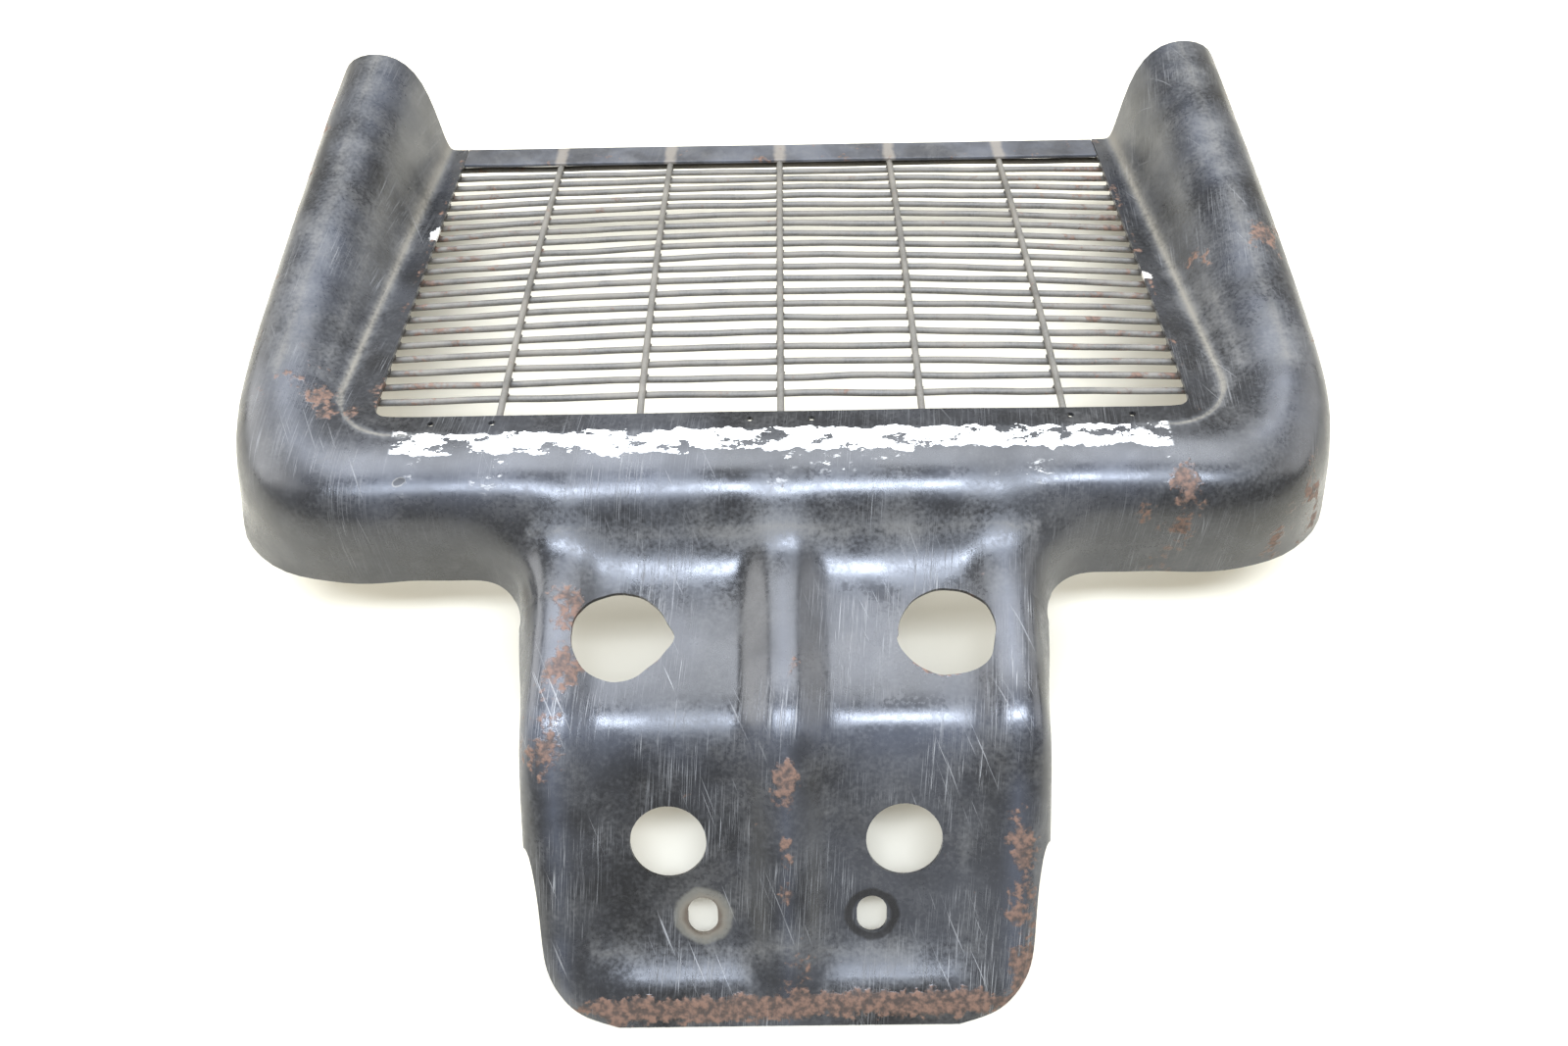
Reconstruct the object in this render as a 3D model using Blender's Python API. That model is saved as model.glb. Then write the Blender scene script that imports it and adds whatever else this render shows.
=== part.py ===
"""Front grille guard: one pressed steel shell, a welded wire grille, a top strip and two fixing brackets.

Blender 4.5. Metres, +Z up. The guard lies face up on a flat surface, with the tongue towards -Y and
the two arms towards +Y. The origin is at the middle of its footprint, on that surface.
"""

import math

import bmesh
import bpy
import numpy as np
from mathutils import Matrix, Vector

MM = 0.001

# Driving dimensions, all in millimetres.
GUARD_WIDTH = 514.0  # outer skirt to outer skirt, at the corners
ARM_END_WIDTH = 503.0  # the same at the arms' ends
GUARD_LENGTH = 498.0  # tongue's end to the arms' ends
CREST_HEIGHT = 112.0  # top of the bar above the surface it lies on
SHEET = 2.0  # thickness of the pressed sheet

TONGUE_LENGTH = 186.0  # tongue's end to the front of the bar
TONGUE_WIDTH = 222.0  # skirt to skirt, above the notch
TONGUE_END_WIDTH = 208.0  # below the notch
BEND_RUN = 96.0  # tongue's end to the bend, along Y
BEND_HEIGHT = 86.0
SHELF_HEIGHT = 92.0  # top of the tongue's upper stretch
POCKET_DEPTH = 9.0
RIB_WIDTH = 15.0  # flat top of the middle rib
SIDE_RIB = 14.0  # flat top of each side rib
POCKET_WALL = 9.0  # plan width of a pocket's sloping side
TONGUE_SKIRT_END = 16.0  # depth of the tongue's skirt where it stops at the notch
SKIRT_FLARE = 8.0  # how far the tongue's skirt stands out beside the bar
LIP = 4.0  # turned-down edge along the tongue's sides
END_RADIUS = 32.0  # corners of the tongue's end
FILLET_RADIUS = 27.0  # from the bar's skirt round to the tongue's

BAR_WIDTH = 45.0  # fold to front skirt, on plan
CORNER_RADIUS = 30.0  # of the fold, on plan
CORNER_SQUARE = 0.18  # how much squarer the skirt turns the corner than the fold does
SKIRT_HEIGHT = 57.0  # lower edge of the front skirt
ARM_CREST_DROP = 15.0  # how far an arm's crest falls towards its end
ARM_CREST_IN = 27.0  # arm's crest in from its skirt, at the corner
ARM_CREST_IN_END = 34.0  # the same at the arms' ends

WINDOW_WIDTH = 367.0
WINDOW_RADIUS = 8.0
FLANGE_FRONT = 11.0  # flange between the window and the bar's fold
FLANGE_ARM = 16.5  # flange beside the window at the corner
FLANGE_ARM_END = 9.0  # the same at the arms' ends
FLANGE_DROP = 4.0  # flange below the bar's crest at the window's front edge
GRILLE_SLOPE = 16.0  # degrees that the flange and grille fall towards +Y

STRIP_WIDTH = 18.5
WIRE_DIAMETER = 3.2
UPRIGHT_WIRES = 5
UPRIGHT_PITCH = 63.5
WIRE_START = 19.5  # first cross wire in from the window's front edge
WIRE_PITCH = 10.9  # the grille takes as many cross wires as its length has room for
WIRE_OVERLAP = 6.0  # how far wires run on under the flange, and uprights past the last cross wire
GAP = 0.3  # between pieces that touch or are welded

UPPER_HOLE = 40.0
UPPER_HOLE_X = 69.0
UPPER_HOLE_FROM_BAR = 42.0
LOWER_HOLE = 32.0
LOWER_HOLE_X = 49.4
LOWER_HOLE_UP = 80.5  # up the slope from the tongue's end
BOLT_SLOT = 12.7
BOLT_SLOT_LENGTH = 16.5
BOLT_SLOT_X = 35.7
BOLT_SLOT_UP = 46.8
TRIM_HOLE = 3.2
TRIM_HOLE_X = (-142.0, 0.0, 142.0)  # middle of each pair
TRIM_HOLE_HALF_PITCH = 13.7

BRACKET_SHEET = 3.0
BRACKET_WIDTH = 30.0
BRACKET_FROM_END = 62.0
BRACKET_FOOT = 24.0
BRACKET_LEG = 22.0
BRACKET_HOLE = 10.5
BRACKET_ABOVE_EDGE = 4.0  # leg's underside above the skirt's lower edge
WELD_GAP = 1.6  # between a bracket's foot and the rounded skirt that it is welded to

# Worked out from them.
HALF = GUARD_WIDTH / 2
TONGUE_END = -GUARD_LENGTH / 2
ARM_END = GUARD_LENGTH / 2
BAR_FRONT = TONGUE_END + TONGUE_LENGTH
FOLD_Y = BAR_FRONT + BAR_WIDTH
WINDOW_FRONT = FOLD_Y + FLANGE_FRONT
WINDOW_HALF = WINDOW_WIDTH / 2
FOLD_X = WINDOW_HALF + FLANGE_ARM
CORNER_X = FOLD_X - CORNER_RADIUS
CORNER_Y = FOLD_Y + CORNER_RADIUS
SLOPE = math.radians(GRILLE_SLOPE)
TONGUE_HALF = TONGUE_WIDTH / 2
END_HALF = TONGUE_END_WIDTH / 2
BEND_Y = TONGUE_END + BEND_RUN
END_SLOPE = math.atan2(BEND_HEIGHT, BEND_RUN)
FOOT_HEIGHT = SHEET * math.cos(END_SLOPE)
CORNER_ANGLES = (0, 18, 36, 54, 72, 90)
CORNER_FLARE = {36: 4.0, 54: 9.0, 72: 6.0}  # mm that the skirt's lower edge stands out there


def grille_height(y):
    """Height of the flange's top face at a place along Y."""
    return CREST_HEIGHT - FLANGE_DROP - (y - WINDOW_FRONT) * math.tan(SLOPE)


def trim_y(height):
    """Where the arms are cut off: square to the grille, so lower points stop shorter."""
    return ARM_END - (CREST_HEIGHT - ARM_CREST_DROP - height) * math.tan(SLOPE)


def strip_back():
    """The arms' trim line meets the flange here, and the top strip's far edge lies along it."""
    rise = CREST_HEIGHT - ARM_CREST_DROP - grille_height(ARM_END)
    return ARM_END - rise * math.tan(SLOPE) / (1 + math.tan(SLOPE) ** 2)


def mix(a, b, share):
    return a + (b - a) * share


def ease(share):
    share = min(1.0, max(0.0, share))
    return share * share * (3 - 2 * share)


# The channel's cross-section has ten points, from the window's edge over the crest to the skirt's
# lower edge. The first is the window's edge, and the rest are these shares.
BAR_OUT = (-4.0, 0.0, 2.0, 7.0, 18.0, 31.0, 39.0, 42.5, BAR_WIDTH)  # mm out from the fold
BAR_RISE = (0.0, 0.0, 0.2, 0.75)  # of the way from the flange up to the crest
ARM_RISE = (0.0, 0.0, 0.12, 0.78)
BAR_FALL = (0.0, 4.0, 15.0)  # mm below the crest: crest, shoulder, upper skirt
ARM_FALL = (0.0, 3.0, 16.0)
ARM_FLANK = (0.15, 0.6)  # flank points, of the way from the fold to the crest
ARM_FLANK_END = (0.12, 0.3)
ARM_OUTER_IN = (12.0, 4.0, 1.0, 0.0)  # shoulder and skirt points, mm in from the widest


def arm_share(y):
    return max(0.0, (y - CORNER_Y) / (ARM_END - CORNER_Y))


def crest_at(y):
    return CREST_HEIGHT - ARM_CREST_DROP * arm_share(y) ** 1.6


def skirt_at(y):
    """Height of the skirt's lower edge: level along the bar, then down to the surface where the arms stop."""
    fallen = max(0.0, (y - CORNER_Y) / (trim_y(0) - CORNER_Y))
    return SKIRT_HEIGHT * max(0.0, 1 - fallen)


def arm_half(y):
    """Widest half width at y, from the middle to an arm's outer skirt."""
    return mix(HALF, ARM_END_WIDTH / 2, arm_share(y))


def fold_x_at(y):
    return mix(FOLD_X, WINDOW_HALF + FLANGE_ARM_END, arm_share(y))


def section_heights(flange, crest, lower, turn):
    """Heights of the nine points past the window's edge. turn is 0 on the bar and 1 on an arm."""
    rise = [mix(b, a, turn) for b, a in zip(BAR_RISE, ARM_RISE)]
    fall = [mix(b, a, turn) for b, a in zip(BAR_FALL, ARM_FALL)]
    top = [mix(flange, crest, share) for share in rise] + [crest - drop for drop in fall]
    return top + [mix(top[-1], lower, 0.5), lower]


def arm_outs(y):
    """Distances of the nine section points out from the fold, on an arm."""
    wide = arm_half(y) - fold_x_at(y)
    crest = wide - mix(ARM_CREST_IN, ARM_CREST_IN_END, arm_share(y))
    flank = [mix(a, b, arm_share(y)) for a, b in zip(ARM_FLANK, ARM_FLANK_END)]
    inner = [-4.0, 0.0] + [crest * share for share in flank]
    return inner + [crest] + [wide - step for step in ARM_OUTER_IN]


def bar_station(x):
    """Section points across the bar at x, from the window's edge to the skirt's lower edge."""
    flange = [WINDOW_FRONT] + [FOLD_Y - out for out in BAR_OUT]
    heights = section_heights(grille_height(FOLD_Y), CREST_HEIGHT, SKIRT_HEIGHT, 0.0)
    heights[0] = grille_height(flange[1])
    points = [Vector((x, WINDOW_FRONT, grille_height(WINDOW_FRONT)))]
    return points + [Vector((x, y, z)) for y, z in zip(flange[1:], heights)]


def corner_station(degrees):
    """Section points round the corner, at an angle from the bar's direction to the arm's."""
    turn = degrees / 90
    across = Vector((math.sin(math.radians(degrees)), -math.cos(math.radians(degrees)), 0))
    window = Vector((WINDOW_HALF - WINDOW_RADIUS, WINDOW_FRONT + WINDOW_RADIUS, 0)) + across * WINDOW_RADIUS
    if degrees == 0:
        window.x = CORNER_X
    if degrees == 90:
        window.y = CORNER_Y
    window.z = grille_height(window.y)
    outs = [mix(b, a, turn) for b, a in zip(BAR_OUT, arm_outs(CORNER_Y))]
    centre = Vector((CORNER_X, CORNER_Y, 0))
    square = CORNER_SQUARE * math.sin(2 * math.radians(degrees)) ** 2
    places = [centre + across * (CORNER_RADIUS + out + square * max(0.0, out)) for out in outs]
    heights = section_heights(grille_height(places[1].y), crest_at(CORNER_Y), SKIRT_HEIGHT, turn)
    heights[0] = grille_height(places[0].y)
    for place, height in zip(places, heights):
        place.z = height
    flare = CORNER_FLARE.get(degrees, 0.0)
    places[-1] += across * flare
    places[-2] += across * flare * 0.4
    return [window] + places


def arm_station(y):
    """Section points across an arm at y. The last station lies on the trim line."""
    outs = [WINDOW_HALF - fold_x_at(y)] + arm_outs(y)
    heights = section_heights(grille_height(y), crest_at(y), skirt_at(y), 1.0)
    heights = [heights[0]] + heights
    points = []
    for step, (out, height) in enumerate(zip(outs, heights)):
        end = min(y, trim_y(height)) if y == ARM_END else y
        if step < 3:
            end = min(y, strip_back())
            height = grille_height(end)
        points.append(Vector((fold_x_at(y) + out, end, height)))
    return points


def tongue_rows():
    """The tongue's side profile from the bar's shoulder down: (y, z, pocket depth as a share)."""
    shoulder = (FOLD_Y - BAR_OUT[5], CREST_HEIGHT - BAR_FALL[1], 0.0)
    shelf = BAR_FRONT - FILLET_RADIUS
    upper = [
        (BAR_FRONT + 5, CREST_HEIGHT - 10.5, 0.1),
        (BAR_FRONT - 7, SHELF_HEIGHT + 2.5, 0.55),
        (shelf, SHELF_HEIGHT, 1.0),
        (mix(shelf, BEND_Y, 0.35), mix(SHELF_HEIGHT, BEND_HEIGHT + 2.5, 0.35), 1.0),
        (mix(shelf, BEND_Y, 0.68), mix(SHELF_HEIGHT, BEND_HEIGHT + 2.5, 0.68), 1.0),
        (BEND_Y + 9, BEND_HEIGHT + 2.0, 1.0),
    ]
    slope = math.hypot(BEND_RUN, BEND_HEIGHT)
    lower = []
    lengths = ((slope - 8, 1), (slope * 0.63, 1), (slope * 0.42, 1), (30, 1), (18, 0), (9, 0), (3.5, 0), (0, 0))
    for up, depth in lengths:
        share = up / slope
        lower.append((mix(TONGUE_END, BEND_Y, share), mix(FOOT_HEIGHT, BEND_HEIGHT, share), float(depth)))
    return [shoulder] + upper + lower


def row_normals(rows):
    """Outward normals of the side profile, from the slope between each row's neighbours."""
    yz = np.array([row[:2] for row in rows])
    along = np.gradient(yz, axis=0)
    along /= np.linalg.norm(along, axis=1)[:, None]
    return [Vector((0, along_z, -along_y)) for along_y, along_z in along]


NOTCH_ROW = 8  # the tongue's skirt runs from the shoulder down to this row
FAN_ROWS = 4  # rows that the corner between the bar's skirt and the tongue's takes


def tongue_columns(row):
    """Distances of the tongue's columns from the middle, and each one's share of the pocket's depth."""
    half = TONGUE_HALF if row <= NOTCH_ROW else END_HALF + 3
    rib = half - 9 - SIDE_RIB
    foot = RIB_WIDTH / 2 + POCKET_WALL
    outer = rib - POCKET_WALL
    xs = [0.0, RIB_WIDTH / 2, foot, mix(foot, outer, 0.2), mix(foot, outer, 0.6), outer, rib, half - 9]
    return xs, [0, 0, 1, 1, 1, 1, 0, 0]


def add_grid(bm, grid):
    """A grid of points becomes vertices and quads. Points that match an earlier one are merged later."""
    made = [[bm.verts.new(point * MM) for point in line] for line in grid]
    for first, second in zip(made, made[1:]):
        for i in range(len(first) - 1):
            bm.faces.new((first[i], first[i + 1], second[i + 1], second[i]))


def bar_grid():
    """The bar above the tongue, from the window's edge to the shoulder, then on to the corner."""
    xs = tongue_columns(0)[0]
    return [bar_station(x)[:7] for x in xs]


def tongue_grid():
    rows = tongue_rows()
    grid = []
    for number, ((y, z, depth), normal) in enumerate(zip(rows, row_normals(rows))):
        xs, shares = tongue_columns(number)
        narrow = 1 - end_inset(number) / xs[-1]
        grid.append(
            [
                Vector((x * narrow, y, z)) - normal * (POCKET_DEPTH * depth * share)
                for x, share in zip(xs, shares)
            ]
        )
    return grid


def end_inset(number):
    """How far the rounded corner brings the tongue's side in at a row near its end."""
    y, _, _ = tongue_rows()[number]
    left = END_RADIUS - (y - TONGUE_END) / math.cos(END_SLOPE)
    return END_RADIUS - math.sqrt(END_RADIUS**2 - left**2) if left > 0 else 0.0


def edge_grid():
    """The turned-down lip along the tongue's sides below the notch."""
    rows = tongue_rows()
    normals = row_normals(rows)
    grid = []
    for number in range(NOTCH_ROW, len(rows)):
        y, z, _ = rows[number]
        wide = END_HALF if number > NOTCH_ROW else TONGUE_HALF - 4
        inset = end_inset(number)
        inner = Vector((tongue_columns(number)[0][-1] - inset, y, z))
        turned = LIP * min(1.0, (len(rows) - 1 - number) / 3)
        grid.append([inner, Vector((wide - inset, y, z)) - normals[number] * turned])
    return grid


def tongue_skirt_line(row):
    """Skirt points beside one row of the tongue, from its side rib to the skirt's lower edge."""
    rows = tongue_rows()
    y, z, _ = rows[row]
    stop = z - TONGUE_SKIRT_END
    lower = min(stop, mix(SKIRT_HEIGHT, stop, ease((row - FAN_ROWS - 1) / (NOTCH_ROW - FAN_ROWS - 1))))
    normal = row_normals(rows)[row]
    outer = TONGUE_HALF + SKIRT_FLARE * (1 - ease((row - FAN_ROWS + 1) / 3))
    first = Vector((TONGUE_HALF - 4, y, z)) - normal * LIP
    last = Vector((outer, y - (z - lower) * normal.y * 0.6, lower))
    middle = first.lerp(last, 0.45)
    middle.x = mix(TONGUE_HALF, outer, 0.4)
    return [first, middle, last]


def fan_grid():
    """The filleted corner where the bar's skirt turns into the tongue's."""
    rows = tongue_rows()
    side = TONGUE_HALF - 9
    start = bar_station(TONGUE_HALF + FILLET_RADIUS)[6:]
    end = tongue_skirt_line(FAN_ROWS - 1)
    inner = [start[0], Vector((side, rows[0][0], rows[0][1]))]
    inner += [Vector((side, y, z)) for y, z, _ in rows[1:FAN_ROWS]]
    centre = Vector((TONGUE_HALF + FILLET_RADIUS, BAR_FRONT - FILLET_RADIUS, 0))
    grid = []
    for step, point in enumerate(inner):
        share = step / (len(inner) - 1)
        angle = share * math.pi / 2
        line = [point]
        for first, last in zip(start[1:], end):
            radius = mix((first.xy - centre.xy).length, (last.xy - centre.xy).length, share)
            place = centre + Vector((-math.sin(angle), math.cos(angle), 0)) * radius
            line.append(Vector((place.x, place.y, mix(first.z, last.z, share))))
        grid.append(line)
    return grid


def skirt_grid():
    rows = tongue_rows()
    grid = []
    for row in range(FAN_ROWS - 1, NOTCH_ROW + 1):
        y, z, _ = rows[row]
        grid.append([Vector((tongue_columns(row)[0][-1], y, z))] + tongue_skirt_line(row))
    return grid


def channel_grid():
    """Whole sections from beside the tongue, round the corner and up the arm to its end."""
    start = TONGUE_HALF + FILLET_RADIUS
    stations = [bar_station(start), bar_station(mix(start, CORNER_X, 0.5))]
    stations += [corner_station(degrees) for degrees in CORNER_ANGLES]
    arm = ARM_END - CORNER_Y
    stations += [arm_station(CORNER_Y + arm * share) for share in (0.2, 0.4, 0.6, 0.76)]
    stations += [arm_station(strip_back() - STRIP_WIDTH * math.cos(SLOPE)), arm_station(ARM_END)]
    return stations


def shell_cage():
    """Half of the pressing's surface as one coarse sheet, on the +X side, with its faces pointing up."""
    bm = bmesh.new()
    add_grid(bm, bar_grid() + [bar_station(TONGUE_HALF + FILLET_RADIUS)[:7]])
    add_grid(bm, channel_grid())
    add_grid(bm, tongue_grid())
    add_grid(bm, edge_grid())
    add_grid(bm, fan_grid())
    add_grid(bm, skirt_grid())
    bmesh.ops.remove_doubles(bm, verts=bm.verts, dist=0.01 * MM)
    bmesh.ops.recalc_face_normals(bm, faces=bm.faces)
    highest = max(bm.faces, key=lambda face: face.calc_center_median().z)
    if highest.normal.z < 0:
        bmesh.ops.reverse_faces(bm, faces=bm.faces)
    mesh = bpy.data.meshes.new("guard_shell")
    bm.to_mesh(mesh)
    bm.free()
    return mesh


def material(name, colour, roughness, metallic):
    made = bpy.data.materials.new(name)
    made.use_nodes = True
    shader = made.node_tree.nodes["Principled BSDF"]
    shader.inputs["Base Color"].default_value = (*colour, 1.0)
    shader.inputs["Roughness"].default_value = roughness
    shader.inputs["Metallic"].default_value = metallic
    return made


def place(name, mesh, finish, root, shape=None):
    made = bpy.data.objects.new(name, mesh)
    bpy.context.scene.collection.objects.link(made)
    if shape is not None:
        made.matrix_world = shape
    made.parent = root
    if not mesh.materials:
        mesh.materials.append(finish)
    return made


def smooth(mesh, degrees=40):
    mesh.shade_smooth()
    mesh.set_sharp_from_angle(angle=math.radians(degrees))


def cutter(name, diameter, depth, centre, axis, length=0.0, along=Vector((0, 1, 0)), sides=24):
    """A round cutter, or a slot cutter when length is more than the diameter."""
    bm = bmesh.new()
    reach = max(0.0, length - diameter) / 2
    outline = []
    for side in range(sides):
        angle = 2 * math.pi * (side + 0.5) / sides
        shift = math.copysign(reach, math.sin(angle))
        outline.append((diameter / 2 * math.cos(angle), diameter / 2 * math.sin(angle) + shift))
    low = [bm.verts.new((x * MM, y * MM, -depth / 2 * MM)) for x, y in outline]
    high = [bm.verts.new((x * MM, y * MM, depth / 2 * MM)) for x, y in outline]
    bm.faces.new(low[::-1])
    bm.faces.new(high)
    for side in range(sides):
        after = (side + 1) % sides
        bm.faces.new((low[side], low[after], high[after], high[side]))
    mesh = bpy.data.meshes.new(name)
    bm.to_mesh(mesh)
    bm.free()
    up = axis.normalized()
    side_axis = along.cross(up).normalized()
    turn = Matrix((side_axis, up.cross(side_axis), up)).transposed().to_4x4()
    made = bpy.data.objects.new(name, mesh)
    bpy.context.scene.collection.objects.link(made)
    made.matrix_world = Matrix.Translation(centre * MM) @ turn
    made.hide_render = True
    made.display_type = "WIRE"
    return made


def shell_cutters():
    """Cutters for the tongue's six holes and the six trim holes in the flange."""
    slope_normal = Vector((0, -math.sin(END_SLOPE), math.cos(END_SLOPE)))
    foot = Vector((0, TONGUE_END, FOOT_HEIGHT))
    up_slope = Vector((0, math.cos(END_SLOPE), math.sin(END_SLOPE)))
    flange_normal = Vector((0, math.sin(SLOPE), math.cos(SLOPE)))
    made = []
    for side in (-1, 1):
        upper = Vector((side * UPPER_HOLE_X, BAR_FRONT - UPPER_HOLE_FROM_BAR, SHELF_HEIGHT))
        made.append(cutter("cut_upper", UPPER_HOLE, 60, upper, Vector((0, 0, 1)), sides=32))
        lower = foot + up_slope * LOWER_HOLE_UP + Vector((side * LOWER_HOLE_X, 0, 0))
        made.append(cutter("cut_lower", LOWER_HOLE, 50, lower, slope_normal, sides=32))
        bolt = foot + up_slope * BOLT_SLOT_UP + Vector((side * BOLT_SLOT_X, 0, 0))
        made.append(cutter("cut_bolt", BOLT_SLOT, 50, bolt, slope_normal, BOLT_SLOT_LENGTH))
        for middle in TRIM_HOLE_X:
            y = mix(WINDOW_FRONT, FOLD_Y, 0.45)
            trim = Vector((middle + side * TRIM_HOLE_HALF_PITCH, y, grille_height(y)))
            made.append(cutter("cut_trim", TRIM_HOLE, 8, trim, flange_normal, sides=12))
    return made


def guard_shell(finish, root):
    shell = place("guard_shell", shell_cage(), finish, root)
    mirror = shell.modifiers.new("Mirror", "MIRROR")
    mirror.merge_threshold = 0.0001
    mirror.use_clip = True
    rounding = shell.modifiers.new("Rounding", "SUBSURF")
    rounding.levels = rounding.render_levels = 1
    rounding.boundary_smooth = "PRESERVE_CORNERS"
    thickness = shell.modifiers.new("Sheet", "SOLIDIFY")
    thickness.thickness = SHEET * MM
    thickness.offset = -1
    thickness.use_even_offset = True
    for number, tool in enumerate(shell_cutters()):
        hole = shell.modifiers.new(f"Hole {number}", "BOOLEAN")
        hole.operation = "DIFFERENCE"
        hole.solver = "EXACT"
        hole.object = tool
    smooth(shell.data)
    return shell


def grille_frame(y, below):
    """The grille's own frame at y: X across, Y down the slope, Z out of its face."""
    normal = Vector((0, math.sin(SLOPE), math.cos(SLOPE)))
    origin = Vector((0, y, grille_height(y))) - normal * below
    across = Vector((1, 0, 0))
    turn = Matrix((across, normal.cross(across), normal)).transposed().to_4x4()
    return Matrix.Translation(origin * MM) @ turn


def top_strip(finish, root):
    """Flat strip across the window's far edge, level with the flanges and welded between the arms."""
    bpy.ops.mesh.primitive_cube_add(size=1)
    strip = bpy.context.object
    strip.name = strip.data.name = "top_strip"
    size = (2 * (WINDOW_HALF - GAP), STRIP_WIDTH, SHEET)
    strip.data.transform(Matrix.Diagonal((*[side * MM for side in size], 1)))
    strip.matrix_world = grille_frame(strip_back() - STRIP_WIDTH / 2 * math.cos(SLOPE), SHEET / 2)
    strip.parent = root
    strip.data.materials.append(finish)
    return strip


def wire_mesh(name, length):
    """A straight round wire along X, centred on its own origin."""
    bpy.ops.mesh.primitive_cylinder_add(vertices=8, radius=WIRE_DIAMETER / 2 * MM, depth=length * MM)
    made = bpy.context.object
    mesh = made.data
    mesh.name = name
    mesh.transform(Matrix.Rotation(math.radians(90), 4, "Y"))
    smooth(mesh, 60)
    bpy.data.objects.remove(made)
    return mesh


def cross_wire_count():
    """As many cross wires as fit at their pitch. The last one lies behind the top strip."""
    far = (strip_back() - WINDOW_FRONT) / math.cos(SLOPE)
    return int((far - WIRE_OVERLAP - WIRE_START) / WIRE_PITCH) + 1


def grille_wires(finish, root):
    """Upright wires against the back of the flange, and cross wires welded behind them."""
    upright_below = SHEET + GAP + WIRE_DIAMETER / 2
    cross_below = upright_below + WIRE_DIAMETER + GAP
    cross = wire_mesh("cross_wire", WINDOW_WIDTH + 2 * WIRE_OVERLAP)
    for number in range(cross_wire_count()):
        y = WINDOW_FRONT + (WIRE_START + WIRE_PITCH * number) * math.cos(SLOPE)
        place(f"cross_wire_{number + 1:02d}", cross, finish, root, grille_frame(y, cross_below))
    reach = WIRE_PITCH * (cross_wire_count() - 1)
    upright = wire_mesh("upright_wire", reach + WIRE_START + 2 * WIRE_OVERLAP)
    upright.transform(Matrix.Rotation(math.radians(90), 4, "Z"))
    middle = WINDOW_FRONT + (WIRE_START + reach) / 2 * math.cos(SLOPE)
    for number in range(UPRIGHT_WIRES):
        x = (number - (UPRIGHT_WIRES - 1) / 2) * UPRIGHT_PITCH
        shape = grille_frame(middle, upright_below) @ Matrix.Translation((x * MM, 0, 0))
        place(f"upright_wire_{number + 1}", upright, finish, root, shape)


def bracket_mesh():
    """An angle bracket: a foot against the arm's skirt and a level leg with a bolt hole."""
    bm = bmesh.new()
    t = BRACKET_SHEET
    outline = ((0, 0), (0, BRACKET_FOOT), (-t, BRACKET_FOOT), (-t, t), (-BRACKET_LEG, t), (-BRACKET_LEG, 0))
    ends = []
    for y in (-BRACKET_WIDTH / 2, BRACKET_WIDTH / 2):
        ends.append([bm.verts.new((x * MM, y * MM, z * MM)) for x, z in outline])
    bm.faces.new(ends[0])
    bm.faces.new(ends[1][::-1])
    for i in range(len(outline)):
        after = (i + 1) % len(outline)
        bm.faces.new((ends[0][i], ends[1][i], ends[1][after], ends[0][after]))
    bmesh.ops.recalc_face_normals(bm, faces=bm.faces)
    mesh = bpy.data.meshes.new("arm_bracket")
    bm.to_mesh(mesh)
    bm.free()
    return mesh


def arm_brackets(finish, root):
    """One inside each arm, welded to the back of its outer skirt."""
    y = ARM_END - BRACKET_FROM_END
    inset = arm_half(y + BRACKET_WIDTH / 2) - SHEET - WELD_GAP
    height = skirt_at(y - BRACKET_WIDTH / 2) + BRACKET_ABOVE_EDGE
    for name, side in (("arm_bracket_left", -1), ("arm_bracket_right", 1)):
        mesh = bracket_mesh()
        if side < 0:
            mesh.transform(Matrix.Diagonal((-1, 1, 1, 1)))
            mesh.flip_normals()
        shape = Matrix.Translation(Vector((side * inset, y, height)) * MM)
        bracket = place(name, mesh, finish, root, shape)
        centre = Vector((side * (inset - BRACKET_SHEET - (BRACKET_LEG - BRACKET_SHEET) / 2), y, height))
        hole = bracket.modifiers.new("Bolt hole", "BOOLEAN")
        hole.operation = "DIFFERENCE"
        hole.solver = "EXACT"
        hole.object = cutter("cut_bracket", BRACKET_HOLE, 12, centre, Vector((0, 0, 1)), sides=16)


def main():
    for old in list(bpy.data.objects):
        bpy.data.objects.remove(old)
    root = bpy.data.objects.new("guard", None)
    bpy.context.scene.collection.objects.link(root)
    paint = material("black_paint", (0.02, 0.022, 0.026), 0.32, 0.0)
    wire_paint = material("worn_wire_paint", (0.05, 0.045, 0.04), 0.5, 0.0)
    strip_paint = material("strip_paint", (0.035, 0.037, 0.042), 0.4, 0.0)
    bracket_paint = material("bracket_paint", (0.03, 0.03, 0.032), 0.5, 0.0)
    guard_shell(paint, root)
    top_strip(strip_paint, root)
    grille_wires(wire_paint, root)
    arm_brackets(bracket_paint, root)


main()
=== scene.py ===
from math import atan2, copysign, cos, exp, hypot, pi, radians, sin, sqrt, tan

import bpy
from mathutils import Matrix, Vector, noise


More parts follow.
